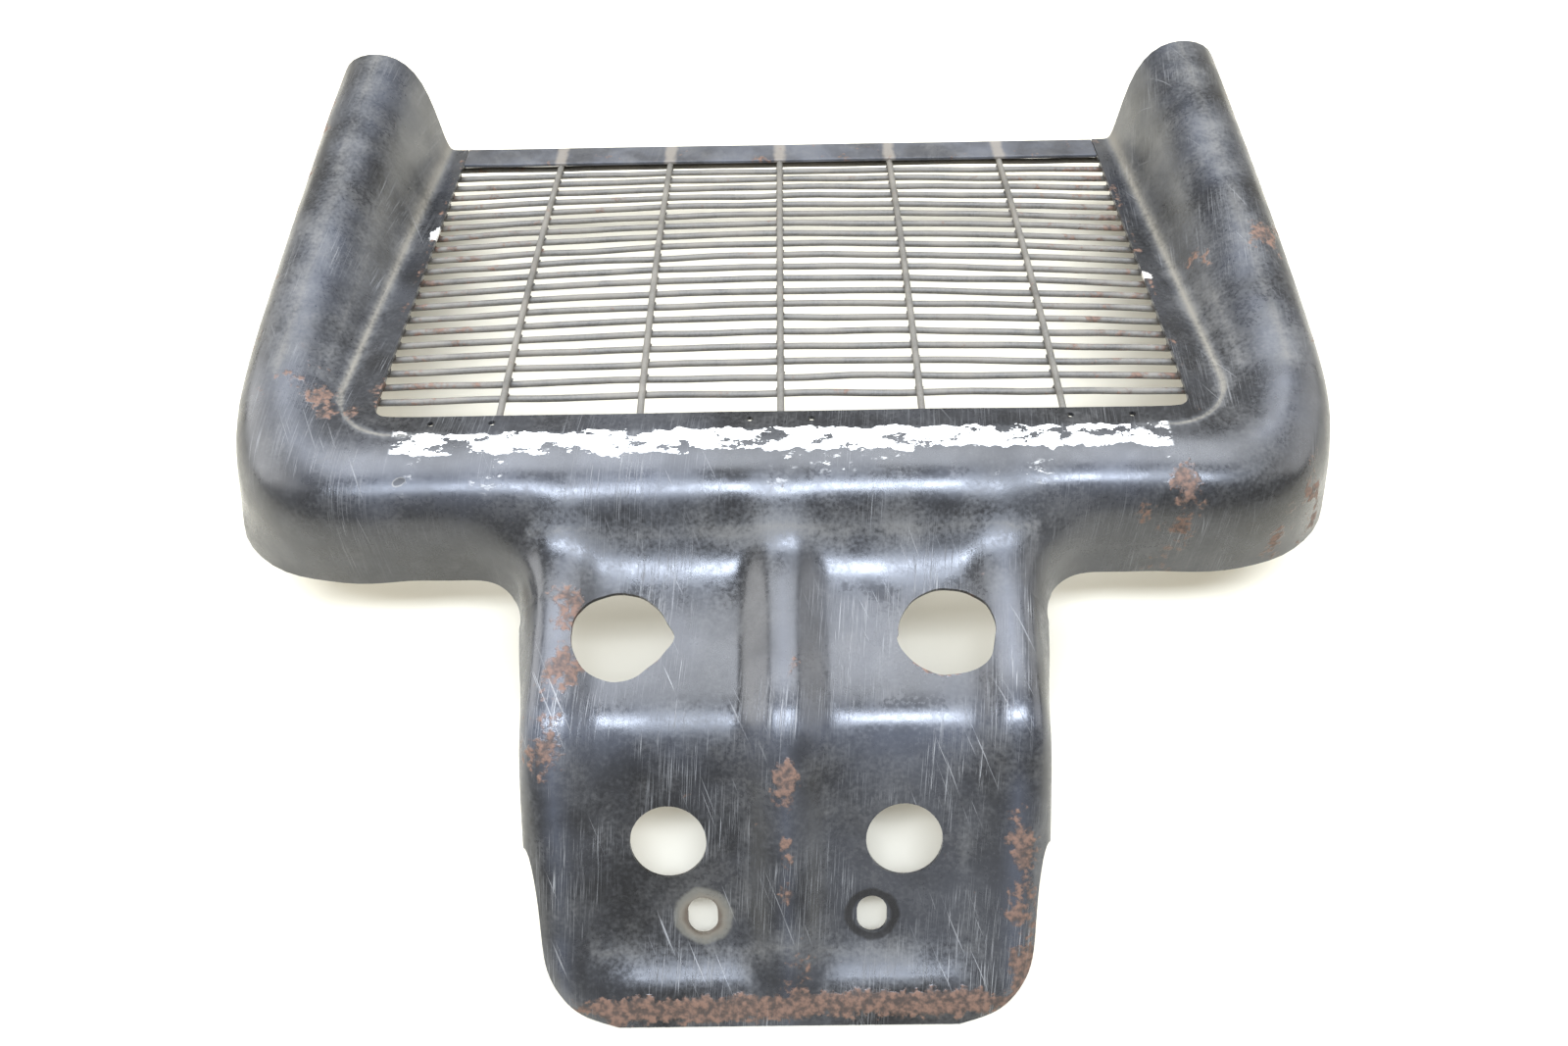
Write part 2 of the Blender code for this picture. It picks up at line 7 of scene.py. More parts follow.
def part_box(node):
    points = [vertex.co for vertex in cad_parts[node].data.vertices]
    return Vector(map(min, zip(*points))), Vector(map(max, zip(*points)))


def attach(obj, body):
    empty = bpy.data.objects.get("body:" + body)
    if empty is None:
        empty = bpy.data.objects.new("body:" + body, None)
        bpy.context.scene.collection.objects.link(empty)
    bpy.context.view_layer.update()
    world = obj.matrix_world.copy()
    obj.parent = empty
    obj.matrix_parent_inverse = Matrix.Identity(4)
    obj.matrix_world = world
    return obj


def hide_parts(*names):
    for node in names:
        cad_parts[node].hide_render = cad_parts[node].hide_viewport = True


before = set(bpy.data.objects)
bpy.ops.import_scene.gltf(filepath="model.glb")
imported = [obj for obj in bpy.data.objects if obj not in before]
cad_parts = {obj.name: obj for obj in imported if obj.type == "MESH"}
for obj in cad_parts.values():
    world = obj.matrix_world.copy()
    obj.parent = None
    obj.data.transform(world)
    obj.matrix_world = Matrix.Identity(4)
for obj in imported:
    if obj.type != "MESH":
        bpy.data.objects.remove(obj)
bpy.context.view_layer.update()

mm = 0.001
worldCollection = bpy.context.scene.collection

# The pressing, in millimetres. Places along the guard are worked out from its own box.
roundedOff = {"back": 0.6, "top": 0.17}  # what rounding takes off the box
shellLow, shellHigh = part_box("guard_shell")
shell = {
    "tongueEnd": shellLow.y / mm,
    "armEnd": shellHigh.y / mm + roundedOff["back"],
    "crest": shellHigh.z / mm + roundedOff["top"],
    "half": 257.0,
    "armEndHalf": 251.5,
    "sheet": 2.0,
    "tongueLength": 186.0,
    "tongueHalf": 111.0,
    "endHalf": 104.0,
    "endMargin": 3.0,
    "sideEdge": 9.0,  # from the tongue's side to the outer foot of its side rib
    "bendRun": 96.0,
    "bendHeight": 86.0,
    "shelf": 92.0,
    "pocket": 9.0,
    "ribHalf": 7.5,
    "sideRib": 14.0,
    "pocketWall": 9.0,
    "notchSkirt": 16.0,
    "skirtFlare": 8.0,
    "skirtIn": 4.0,
    "skirtLean": 0.6,
    "lip": 4.0,
    "lipRows": 3,
    "endRadius": 32.0,
    "fillet": 27.0,
    "bar": 45.0,
    "cornerRadius": 30.0,
    "cornerSquare": 0.18,
    "skirt": 57.0,
    "armDrop": 15.0,
    "armCurve": 1.6,
    "crestIn": 27.0,
    "crestInEnd": 34.0,
    "windowHalf": 183.5,
    "windowRadius": 8.0,
    "flange": 11.0,
    "armFlange": 16.5,
    "armFlangeEnd": 9.0,
    "flangeDrop": 4.0,
    "slope": radians(16.0),
    "strip": 18.5,
    "rounding": 2,
}
barFront = shell["tongueEnd"] + shell["tongueLength"]
foldY = barFront + shell["bar"]
slope, tongueHalf = shell["slope"], shell["tongueHalf"]
windowFront = foldY + shell["flange"]
foldX = shell["windowHalf"] + shell["armFlange"]
cornerX = foldX - shell["cornerRadius"]
cornerY = foldY + shell["cornerRadius"]
bendY = shell["tongueEnd"] + shell["bendRun"]
endSlope = atan2(shell["bendHeight"], shell["bendRun"])
slopeLength = hypot(shell["bendRun"], shell["bendHeight"])
footHeight = shell["sheet"] * cos(endSlope)
foldIn = 4.0  # the flange is still flat this far in from the fold
barOut = (-foldIn, 0.0, 2.0, 7.0, 18.0, 31.0, 39.0, 42.5, 45.0)
barRise, armRise = (0.0, 0.0, 0.2, 0.75), (0.0, 0.0, 0.12, 0.78)
barFall, armFall = (0.0, 4.0, 15.0), (0.0, 3.0, 16.0)
armFlank, armFlankEnd = (0.15, 0.6), (0.12, 0.3)
armOuterIn = (12.0, 4.0, 1.0, 0.0)
cornerTurns = (0, 18, 36, 54, 72, 90)
cornerFlare, flareMiddle = {36: 4.0, 54: 9.0, 72: 6.0}, 0.4
pocketFloor = (0.2, 0.6)
armShares = (0.2, 0.4, 0.6, 0.76)
notchRow, fanRows, flareRows = 8, 4, 3
tongueRun = {  # the rows of points from the bar down to the tongue's end
    "overFront": (5.0, 10.5, 0.1),  # behind the bar's front, below the crest, share of the pockets' depth
    "ontoShelf": (7.0, 2.5, 0.55),  # past the bar's front, above the shelf, share of the pockets' depth
    "shelfShares": (0.35, 0.68),
    "shelfEnd": 2.5,
    "bend": (9.0, 2.0),
    "pastBend": 8.0,
    "slopeShares": (0.63, 0.42),
    "pocketFoot": 30.0,
    "endUps": (18.0, 9.0, 3.5, 0.0),
}


def mix(a, b, share):
    return a + (b - a) * share


def ease(share):
    share = min(1.0, max(0.0, share))
    return share * share * (3 - 2 * share)


def ramp(value, low, high):
    return ease((value - low) / (high - low))


# Shape of the pressing: one half is laid out as six grids, then merged, mirrored and rounded.

def flangeHeight(y):
    return shell["crest"] - shell["flangeDrop"] - (y - windowFront) * tan(slope)


def trimY(height):
    return shell["armEnd"] - (shell["crest"] - shell["armDrop"] - height) * tan(slope)


def stripBack():
    rise = shell["crest"] - shell["armDrop"] - flangeHeight(shell["armEnd"])
    return shell["armEnd"] - rise * tan(slope) / (1 + tan(slope) ** 2)


def alongArm(y):
    return max(0.0, (y - cornerY) / (shell["armEnd"] - cornerY))


def crestAt(y):
    return shell["crest"] - shell["armDrop"] * alongArm(y) ** shell["armCurve"]


def skirtAt(y):
    fallen = max(0.0, (y - cornerY) / (trimY(0) - cornerY))
    return shell["skirt"] * max(0.0, 1 - fallen)


def foldXAt(y):
    return mix(foldX, shell["windowHalf"] + shell["armFlangeEnd"], alongArm(y))


def sectionHeights(flange, crest, lower, turn):
    rise = [mix(b, a, turn) for b, a in zip(barRise, armRise)]
    fall = [mix(b, a, turn) for b, a in zip(barFall, armFall)]
    top = [mix(flange, crest, share) for share in rise] + [crest - drop for drop in fall]
    return top + [mix(top[-1], lower, 0.5), lower]


def armWidth(y):  # from the fold to the arm's outer side
    return mix(shell["half"], shell["armEndHalf"], alongArm(y)) - foldXAt(y)


def armOuts(y):
    wide = armWidth(y)
    crest = wide - mix(shell["crestIn"], shell["crestInEnd"], alongArm(y))
    flank = [crest * mix(a, b, alongArm(y)) for a, b in zip(armFlank, armFlankEnd)]
    return [-foldIn, 0.0] + flank + [crest] + [wide - inward for inward in armOuterIn]


def barSection(x):
    ys = [foldY - out for out in barOut]
    heights = sectionHeights(flangeHeight(foldY), shell["crest"], shell["skirt"], 0.0)
    heights[0] = flangeHeight(ys[0])
    window = Vector((x, windowFront, flangeHeight(windowFront)))
    return [window] + [Vector((x, y, z)) for y, z in zip(ys, heights)]


def cornerSection(degrees):
    turn, angle = degrees / 90, radians(degrees)
    across = Vector((sin(angle), -cos(angle), 0))
    radius = shell["windowRadius"]
    window = Vector((shell["windowHalf"] - radius, windowFront + radius, 0)) + across * radius
    if degrees == 0:
        window.x = cornerX
    if degrees == 90:
        window.y = cornerY
    window.z = flangeHeight(window.y)
    outs = [mix(b, a, turn) for b, a in zip(barOut, armOuts(cornerY))]
    square = 1 + shell["cornerSquare"] * sin(2 * angle) ** 2
    radii = [shell["cornerRadius"] + (out * square if out > 0 else out) for out in outs]
    places = [Vector((cornerX, cornerY, 0)) + across * radius for radius in radii]
    heights = sectionHeights(flangeHeight(places[1].y), crestAt(cornerY), shell["skirt"], turn)
    heights[0] = flangeHeight(places[0].y)
    for place, height in zip(places, heights):
        place.z = height
    flare = cornerFlare.get(degrees, 0.0)
    places[-1] += across * flare
    places[-2] += across * flare * flareMiddle
    return [window] + places


def armSection(y):
    outs = [shell["windowHalf"] - foldXAt(y)] + armOuts(y)
    heights = sectionHeights(flangeHeight(y), crestAt(y), skirtAt(y), 1.0)
    points = []
    for step, (out, height) in enumerate(zip(outs, [heights[0]] + heights)):
        end = min(y, trimY(height)) if y == shell["armEnd"] else y
        if step < 3:
            end = min(y, stripBack())
            height = flangeHeight(end)
        points.append(Vector((foldXAt(y) + out, end, height)))
    return points


def onSlope(up):  # y and z of the tongue's sloping stretch, up from its end
    share = up / slopeLength
    return mix(shell["tongueEnd"], bendY, share), mix(footHeight, shell["bendHeight"], share)


def tongueRows():
    shelf = barFront - shell["fillet"]
    nearBend = shell["bendHeight"] + tongueRun["shelfEnd"]
    behind, below, early = tongueRun["overFront"]
    past, above, late = tongueRun["ontoShelf"]
    rows = [(foldY - barOut[5], shell["crest"] - barFall[1], 0.0)]
    rows.append((barFront + behind, shell["crest"] - below, early))
    rows.append((barFront - past, shell["shelf"] + above, late))
    rows += [(shelf, shell["shelf"], 1.0)]
    for share in tongueRun["shelfShares"]:
        rows.append((mix(shelf, bendY, share), mix(shell["shelf"], nearBend, share), 1.0))
    rows += [(bendY + tongueRun["bend"][0], shell["bendHeight"] + tongueRun["bend"][1], 1.0)]
    ups = [slopeLength - tongueRun["pastBend"]] + [slopeLength * share for share in tongueRun["slopeShares"]]
    for up in ups + [tongueRun["pocketFoot"], *tongueRun["endUps"]]:
        rows.append((*onSlope(up), 1.0 if up >= tongueRun["pocketFoot"] else 0.0))
    return rows


def rowNormals(rows):
    normals = []
    for number in range(len(rows)):
        before, after = rows[max(0, number - 1)], rows[min(len(rows) - 1, number + 1)]
        along = Vector((after[0] - before[0], after[1] - before[1])).normalized()
        normals.append(Vector((0, along.y, -along.x)))
    return normals


def tongueColumns(row):
    half = tongueHalf if row <= notchRow else shell["endHalf"] + shell["endMargin"]
    side = half - shell["sideEdge"]
    rib = side - shell["sideRib"]
    foot, outer = shell["ribHalf"] + shell["pocketWall"], rib - shell["pocketWall"]
    floor = [mix(foot, outer, share) for share in pocketFloor]
    return [0.0, shell["ribHalf"], foot, *floor, outer, rib, side], [0, 0, 1, 1, 1, 1, 0, 0]


def endInset(number):
    left = shell["endRadius"] - (tongueRows()[number][0] - shell["tongueEnd"]) / cos(endSlope)
    return shell["endRadius"] - sqrt(shell["endRadius"] ** 2 - left**2) if left > 0 else 0.0


def tongueGrid():
    rows, grid = tongueRows(), []
    for number, ((y, z, depth), normal) in enumerate(zip(rows, rowNormals(rows))):
        xs, shares = tongueColumns(number)
        narrow, sink = 1 - endInset(number) / xs[-1], shell["pocket"] * depth
        grid.append([Vector((x * narrow, y, z)) - normal * (sink * share) for x, share in zip(xs, shares)])
    return grid


def lipGrid():
    rows, grid = tongueRows(), []
    for number in range(notchRow, len(rows)):
        y, z, _ = rows[number]
        wide = shell["endHalf"] if number > notchRow else tongueHalf - shell["skirtIn"]
        inset = endInset(number)
        turned = shell["lip"] * min(1.0, (len(rows) - 1 - number) / shell["lipRows"])
        inner = Vector((tongueColumns(number)[0][-1] - inset, y, z))
        grid.append([inner, Vector((wide - inset, y, z)) - rowNormals(rows)[number] * turned])
    return grid


def tongueSkirt(row):
    rows = tongueRows()
    y, z, _ = rows[row]
    stop = z - shell["notchSkirt"]
    lower = min(stop, mix(shell["skirt"], stop, ease((row - fanRows - 1) / (notchRow - fanRows - 1))))
    normal = rowNormals(rows)[row]
    outer = tongueHalf + shell["skirtFlare"] * (1 - ease((row - fanRows + 1) / flareRows))
    first = Vector((tongueHalf - shell["skirtIn"], y, z)) - normal * shell["lip"]
    last = Vector((outer, y - (z - lower) * normal.y * shell["skirtLean"], lower))
    middle = first.lerp(last, 0.45)
    middle.x = mix(tongueHalf, outer, 0.4)
    return [first, middle, last]


def fanGrid():
    rows, side = tongueRows(), tongueHalf - shell["sideEdge"]
    start = barSection(tongueHalf + shell["fillet"])[6:]
    end = tongueSkirt(fanRows - 1)
    inner = [start[0]] + [Vector((side, y, z)) for y, z, _ in rows[:fanRows]]
    centre = Vector((tongueHalf + shell["fillet"], barFront - shell["fillet"], 0))
    grid = []
    for step, point in enumerate(inner):
        share = step / (len(inner) - 1)
        away = Vector((-sin(share * pi / 2), cos(share * pi / 2), 0))
        line = [point]
        for first, last in zip(start[1:], end):
            radius = mix((first.xy - centre.xy).length, (last.xy - centre.xy).length, share)
            place = centre + away * radius
            line.append(Vector((place.x, place.y, mix(first.z, last.z, share))))
        grid.append(line)
    return grid


def skirtGrid():
    rows = tongueRows()
    return [
        [Vector((tongueColumns(row)[0][-1], rows[row][0], rows[row][1]))] + tongueSkirt(row)
        for row in range(fanRows - 1, notchRow + 1)
    ]


def barGrid():
    xs = tongueColumns(0)[0] + [tongueHalf + shell["fillet"]]
    return [barSection(x)[:7] for x in xs]


def channelGrid():
    start = tongueHalf + shell["fillet"]
    stations = [barSection(start), barSection(mix(start, cornerX, 0.5))]
    stations += [cornerSection(degrees) for degrees in cornerTurns]
    reach = shell["armEnd"] - cornerY
    stations += [armSection(cornerY + reach * share) for share in armShares]
    stripFront = stripBack() - shell["strip"] * cos(slope)
    return stations + [armSection(stripFront), armSection(shell["armEnd"])]


def setMode(mode):
    bpy.ops.object.mode_set(mode=mode)


def deselectAll():
    if bpy.context.object and bpy.context.object.mode != "OBJECT":
        setMode("OBJECT")
    bpy.ops.object.select_all(action="DESELECT")


def takeUp(*pieces):
    deselectAll()
    for piece in pieces:
        piece.select_set(True)
    bpy.context.view_layer.objects.active = pieces[0]


def layGrid(name, rows):  # a grid is added, then each of its crossings is carried to its place
    deselectAll()
    across = len(rows[0])
    bpy.ops.mesh.primitive_grid_add(x_subdivisions=across - 1, y_subdivisions=len(rows) - 1, size=1)
    grid = bpy.context.object
    grid.name = name
    for number, vertex in enumerate(grid.data.vertices):
        vertex.co = rows[number // across][number % across] * mm
    return grid


def addModifier(piece, kind, **settings):
    takeUp(piece)
    modifier = piece.modifiers.new(kind.title(), kind)
    for key, value in settings.items():
        setattr(modifier, key, value)
    bpy.ops.object.modifier_apply(modifier=modifier.name)


def settle(piece):  # the piece's place goes into its mesh
    takeUp(piece)
    bpy.ops.object.transform_apply(location=True, rotation=True, scale=True)


def joinAs(name, pieces):
    takeUp(*pieces)
    bpy.ops.object.join()
    joined = bpy.context.object
    joined.name = joined.data.name = name
    return joined


def shadeSmooth(piece, degrees):  # creases sharper than this stay sharp
    takeUp(piece)
    bpy.ops.object.shade_smooth_by_angle(angle=radians(degrees))


def faceOutward(mergeWithin=0.0):  # on the active piece, where points closer than this become one
    setMode("EDIT")
    bpy.ops.mesh.select_all(action="SELECT")
    if mergeWithin:
        bpy.ops.mesh.remove_doubles(threshold=mergeWithin)
    bpy.ops.mesh.normals_make_consistent(inside=False)
    setMode("OBJECT")


def cutAcross(piece, axis, least, cuts):  # rings are cut through each edge longer than this along the axis
    setMode("EDIT")
    bpy.ops.mesh.select_all(action="DESELECT")
    setMode("OBJECT")
    for edge in piece.data.edges:
        ends = [piece.data.vertices[index].co[axis] for index in edge.vertices]
        edge.select = abs(ends[0] - ends[1]) > least
    setMode("EDIT")
    bpy.ops.mesh.select_mode(type="EDGE")
    bpy.ops.mesh.subdivide(number_cuts=cuts)
    setMode("OBJECT")


def openSheet():  # the pressing's outer face, without thickness
    grids = (barGrid, channelGrid, tongueGrid, lipGrid, fanGrid, skirtGrid)
    sheet = joinAs("guardPressing", [layGrid(grid.__name__, grid()) for grid in grids])
    faceOutward(0.01 * mm)
    highest = max(sheet.data.polygons, key=lambda face: face.center.z)
    if highest.normal.z < 0:
        sheet.data.flip_normals()
    addModifier(sheet, "MIRROR", merge_threshold=0.0001, use_clip=True)
    levels = shell["rounding"]
    addModifier(sheet, "SUBSURF", levels=levels, render_levels=levels, boundary_smooth="PRESERVE_CORNERS")
    return sheet


dents = {
    "wave": 0.5,
    "waveSize": 70.0,
    "skirtWave": 2.2,
    "skirtWaveSize": 34.0,
    "skirtHeight": 26.0,
    "steep": 0.4,  # the skirt's normal rises less than this
    "pastFront": 0.012,  # in metres
}


def wearShape(sheet):  # slow waves all over, and an uneven lower edge on the skirt
    size = dents["waveSize"] * mm
    for vertex in sheet.data.vertices:
        place = vertex.co.copy()
        wave = noise.noise(place / size)
        vertex.co += vertex.normal * wave * dents["wave"] * mm
        onSkirt = abs(vertex.normal.z) < dents["steep"] and place.y > barFront * mm - dents["pastFront"]
        if onSkirt and abs(place.x) > tongueHalf * mm:
            lower = skirtAt(place.y / mm)
            low = 1 - ramp(place.z / mm, lower, lower + dents["skirtHeight"])
            spot = Vector((place.x, place.y, 0)) / (dents["skirtWaveSize"] * mm)
            vertex.co += vertex.normal * noise.noise(spot) * dents["skirtWave"] * low * mm


holes = {
    "upper": {"size": 40.0, "x": 69.0, "y": barFront - 42.0, "sides": 72},
    "lower": {"size": 32.0, "x": 49.4, "up": 80.5, "sides": 64},
    "bolt": {"size": 12.7, "x": 35.7, "up": 46.8, "length": 16.5, "sides": 40},
    "trim": {"size": 3.2, "middles": (-142.0, 0.0, 142.0), "half": 13.7, "share": 0.45, "sides": 16},
    "ragged": 0.8,  # how uneven the torch-cut upper holes are
}


def slopePoint(x, up):
    return Vector((x, *onSlope(up)))


def raggedEdge(angle, side):  # how far a torch-cut hole's edge strays, as a share of its radius
    left = ((0.0, 0.24, 0.15), (-0.85, 0.45, -0.12), (-2.3, 0.5, 0.08))
    right = ((-0.75, 0.3, 0.12), (-1.5, 0.4, -0.07), (-2.2, 0.4, -0.08), (-3.1, 0.25, 0.06))
    stray = 0.012 * cos(2 * angle) + 0.006 * cos(11 * angle)
    for middle, width, amount in left if side < 0 else right:
        stray += amount * exp(-(((angle - middle) / width) ** 2))
    return stray


def addCutter(hole, centre, tilt, ragged=0):
    deselectAll()
    radius = hole["size"] / 2 * mm
    bpy.ops.mesh.primitive_cylinder_add(vertices=hole["sides"], radius=radius, depth=0.05)
    cutter = bpy.context.object
    reach = (hole.get("length", hole["size"]) - hole["size"]) / 2 * mm
    for vertex in cutter.data.vertices:
        angle = atan2(vertex.co.y, vertex.co.x)
        swell = 1 + raggedEdge(angle, ragged) * abs(ragged)
        vertex.co.x *= swell
        vertex.co.y = vertex.co.y * swell + copysign(reach, vertex.co.y)
    cutter.rotation_euler.x = tilt
    cutter.location = centre * mm
    settle(cutter)
    return cutter


def cutHoles(piece):
    cutters = []
    upper, lower, bolt, trim = (holes[name] for name in ("upper", "lower", "bolt", "trim"))
    y = mix(windowFront, foldY, trim["share"])
    for side in (-1, 1):
        centre = Vector((side * upper["x"], upper["y"], shell["shelf"]))
        cutters.append(addCutter(upper, centre, 0.0, side * holes["ragged"]))
        cutters.append(addCutter(lower, slopePoint(side * lower["x"], lower["up"]), endSlope))
        cutters.append(addCutter(bolt, slopePoint(side * bolt["x"], bolt["up"]), endSlope))
        for middle in trim["middles"]:
            centre = Vector((middle + side * trim["half"], y, flangeHeight(y)))
            cutters.append(addCutter(trim, centre, -slope))
    cutter = joinAs("cutter", cutters)
    addModifier(piece, "BOOLEAN", operation="DIFFERENCE", solver="EXACT", object=cutter)
    bpy.data.objects.remove(cutter)


def outFromFold(x, y):  # on plan, mm outward from the fold between the flange and the bar
    x = abs(x)
    if y > cornerY:
        return x - foldXAt(y)
    if x < cornerX:
        return foldY - y
    return hypot(x - cornerX, y - cornerY) - shell["cornerRadius"]


def near(value, middle, width):  # 1 at the middle, falling to 0 at the width
    return max(0.0, 1 - abs(value - middle) / width) ** 1.5


grime = {  # how much dust, then where its middle is and how far it reaches, in millimetres
    "all": 0.17,
    "fold": (0.72, 1.0, 10.0),  # along the arms and round the corners
    "frontFold": (0.3, 1.0, 5.0),
    "foldTurn": (-30.0, 12.0),  # across which the front fold's dust grows to the arms'
    "armFlank": (0.5, 10.0, 16.0),
    "armCrest": (0.56, 30.0, 26.0),
    "shelfRoot": (0.55, 1.0, 17.0),  # where the tongue leaves the bar
    "pocketWall": (0.378, 6.0),
    "pocketWallOnShelf": (0.063, 6.0),
    "pocketFoot": (0.504, 8.0, 20.0),
    "skirtLow": (0.34, 20.0, 22.0),
}
dustEdges = {
    "bar": 60.0,
    "corner": 10.0,
    "tongueTop": 14.0,
    "shelf": 12.0,
    "narrow": 20.0,
    "foot": 26.0,
    "skirt": 30.0,
}


def dustAt(x, y, z):
    side, dust = abs(x), grime["all"]
    out = outFromFold(x, y)
    if y > foldY - dustEdges["bar"]:
        middle, width = grime["fold" if y > cornerY - dustEdges["corner"] else "frontFold"][1:]
        turn = ramp(side, *(cornerX + edge for edge in grime["foldTurn"]))
        dust = max(dust, mix(grime["frontFold"][0], grime["fold"][0], turn) * near(out, middle, width))
        if y > cornerY:
            for amount, middle, width in (grime["armFlank"], grime["armCrest"]):
                dust = max(dust, amount * near(out, middle, width))
    if side < tongueHalf and y < barFront + dustEdges["tongueTop"]:
        amount, behind, width = grime["shelfRoot"]
        dust = max(dust, amount * near(y, barFront + behind, width))
        xs, _ = tongueColumns(fanRows - 1 if y > bendY - dustEdges["narrow"] else notchRow + 2)
        amount, width = grime["pocketWall" if y < bendY - dustEdges["shelf"] else "pocketWallOnShelf"]
        for edge in (xs[2], xs[5]):
            dust = max(dust, amount * near(side, edge, width))
        if side < xs[6]:
            amount, above, width = grime["pocketFoot"]
            dust = max(dust, amount * near(y, onSlope(dustEdges["foot"])[0] + above, width))
    amount, below, reach = grime["skirtLow"]
    low = shell["crest"] - below
    if side > tongueHalf - dustEdges["corner"] and y < barFront + dustEdges["skirt"] and z < low - 2:
        dust = max(dust, amount * ramp(low - z, 0, reach))
    return dust


rustSpots = (  # x, y, how far round, how strong
    (-98.0, -150.0, 16.0, 0.75),
    (-97.0, -132.0, 12.0, 0.6),
    (-92.0, -95.0, 15.0, 0.7),
    (-89.0, -116.0, 12.0, 0.85),
    (2.0, -122.0, 9.0, 0.5),
    (1.0, -166.0, 10.0, 0.75),
    (0.0, -190.0, 7.0, 0.8),
    (0.0, -201.0, 6.0, 0.75),
    (4.0, -230.0, 12.0, 0.6),
    (97.0, -188.0, 12.0, 0.75),
    (98.0, -212.0, 13.0, 0.8),
    (101.0, -232.0, 14.0, 0.9),
    (-180.0, 8.0, 16.0, 0.6),
    (-222.0, 14.0, 20.0, 0.5),
    (-205.0, 6.0, 14.0, 0.65),
    (-192.0, -2.0, 8.0, 0.6),
    (236.0, 92.0, 14.0, 0.8),
    (206.0, 90.0, 10.0, 0.5),
    (176.0, -52.0, 16.0, 0.65),
    (158.0, -57.0, 8.0, 0.45),
    (238.0, -42.0, 13.0, 0.7),
    (222.0, -55.0, 10.0, 0.6),
)

rustBands = {  # how strong, then where the middle is and how far it reaches, in millimetres
    "all": 0.12,
    "end": (1.3, 0.7),  # under the pockets, and towards the corners
    "endMiddle": (8.5, 10.5),  # left, right
    "endReach": (15.0, 24.0),
    "endSpan": (-80.0, 84.0),
    "leftArm": (0.35, 0.75),  # at the corner, at the arm's end
    "rightArm": (0.4, 0.6),
    "arm": (20.0, 8.0, 15.0),
    "wireEnds": (0.5, 2.0, 7.0),
    "flange": (4.0, 2.0),
}
spotStretch = 0.7


def rustAt(x, y, z):
    rust = rustBands["all"]
    for spotX, spotY, reach, strength in rustSpots:
        away = hypot(x - spotX, (y - spotY) * spotStretch)
        rust = max(rust, strength * max(0.0, 1 - (away / reach) ** 2))
    endUp = (y - shell["tongueEnd"]) / cos(endSlope)
    reach, highest = rustBands["endReach"]
    if endUp < highest:
        left, right = rustBands["endSpan"]
        strength = rustBands["end"][0 if left < x < right else 1]
        rust = max(rust, strength * near(endUp, rustBands["endMiddle"][0 if x < 0 else 1], reach))
    out = outFromFold(x, y)
    start, inward, reach = rustBands["arm"]
    if y > cornerY + start:  # the arms' outer shoulders
        strength = mix(*rustBands["leftArm" if x < 0 else "rightArm"], alongArm(y))
        rust = max(rust, strength * near(out, armWidth(y) - inward, reach))
    if y > windowFront - rustBands["flange"][0] and out < rustBands["flange"][1]:
        strength, outward, reach = rustBands["wireEnds"]
        rust = max(rust, strength * near(abs(x), shell["windowHalf"] + outward, reach))
    return rust


sheenAndWearBands = {  # painted highlight on the ridges, with rubbed wear: where the middle is and how far it reaches, in millimetres
    "bar": (24.0, 16.0),
    "bend": (6.0, 18.0),
    "middleRib": (0.0, 6.0),
    "sideRib": (95.0, 8.0),
    "middleShare": 0.6,
}


def polishAt(x, y, z):  # painted highlight on the ridges, with rubbed wear: the bar's top, the ribs and the bend
    side, out = abs(x), outFromFold(x, y)
    polish = near(out, *sheenAndWearBands["bar"]) if y > foldY - dustEdges["bar"] and out > 0 else 0.0
    if side < tongueHalf and y < barFront:
        middle = sheenAndWearBands["middleShare"] * near(side, *sheenAndWearBands["middleRib"])
        polish = max(polish, near(y - bendY, *sheenAndWearBands["bend"]), middle, near(side, *sheenAndWearBands["sideRib"]))
    return polish


def paintMasks(piece, **rules):  # each rule's value at every vertex, as an attribute that the material reads
    for name, rule in rules.items():
        layer = piece.data.attributes.new(name, "FLOAT", "POINT")
        layer.data.foreach_set("value", [rule(*(vertex.co / mm)) for vertex in piece.data.vertices])


def pressGuard():
    sheet = openSheet()
    wearShape(sheet)
    addModifier(sheet, "SOLIDIFY", thickness=shell["sheet"] * mm, offset=-1, use_even_offset=True)
    cutHoles(sheet)
    # the third mask marks the ridges' painted highlight, with rubbed wear
    paintMasks(sheet, dust=dustAt, rust=rustAt, polish=polishAt)
    shadeSmooth(sheet, 38)
    print("pressing:", len(sheet.data.polygons), "faces")
    return sheet


# The welded grille. Its wires are bowed up in the middle and a little bent.
grille = {
    "wire": 3.2,
    "count": 21,
    "uprights": 5,
    "uprightPitch": 63.5,
    "start": 19.5,
    "pitch": 10.9,
    "overlap": 6.0,
    "gap": 0.3,
    "bow": 7.5,
    "bend": 1.15,
    "bendSize": 40.0,
    "cuts": 34,
    "uprightCuts": 24,
    "uprightStart": 1.5,
    "sides": 12,
    "bowStart": 4.0,
    "bowAcross": 0.9,
    "bowAlong": 0.8,
    "held": 30.0,  # a wire is straight at its welded ends, and bent this far in from them
    "lift": 0.3,
}
grilleReach = grille["pitch"] * (grille["count"] - 1)
grilleNormal = Vector((0, sin(slope), cos(slope)))
grilleDown = Vector((0, cos(slope), -sin(slope)))
grilleHalf = shell["windowHalf"] + grille["overlap"]
uprightBelow = shell["sheet"] + grille["gap"] + grille["wire"] / 2
crossBelow = uprightBelow + grille["wire"] + grille["gap"]
crossAlongs = [grille["start"] + grille["pitch"] * number for number in range(grille["count"])]
uprightXs = [
    (number - (grille["uprights"] - 1) / 2) * grille["uprightPitch"] for number in range(grille["uprights"])
]


def grillePoint(x, along, below):  # along runs from the window's front edge down the grille's slope
    front = Vector((0, windowFront, flangeHeight(windowFront)))
    return front + Vector((x, 0, 0)) + grilleDown * along - grilleNormal * below


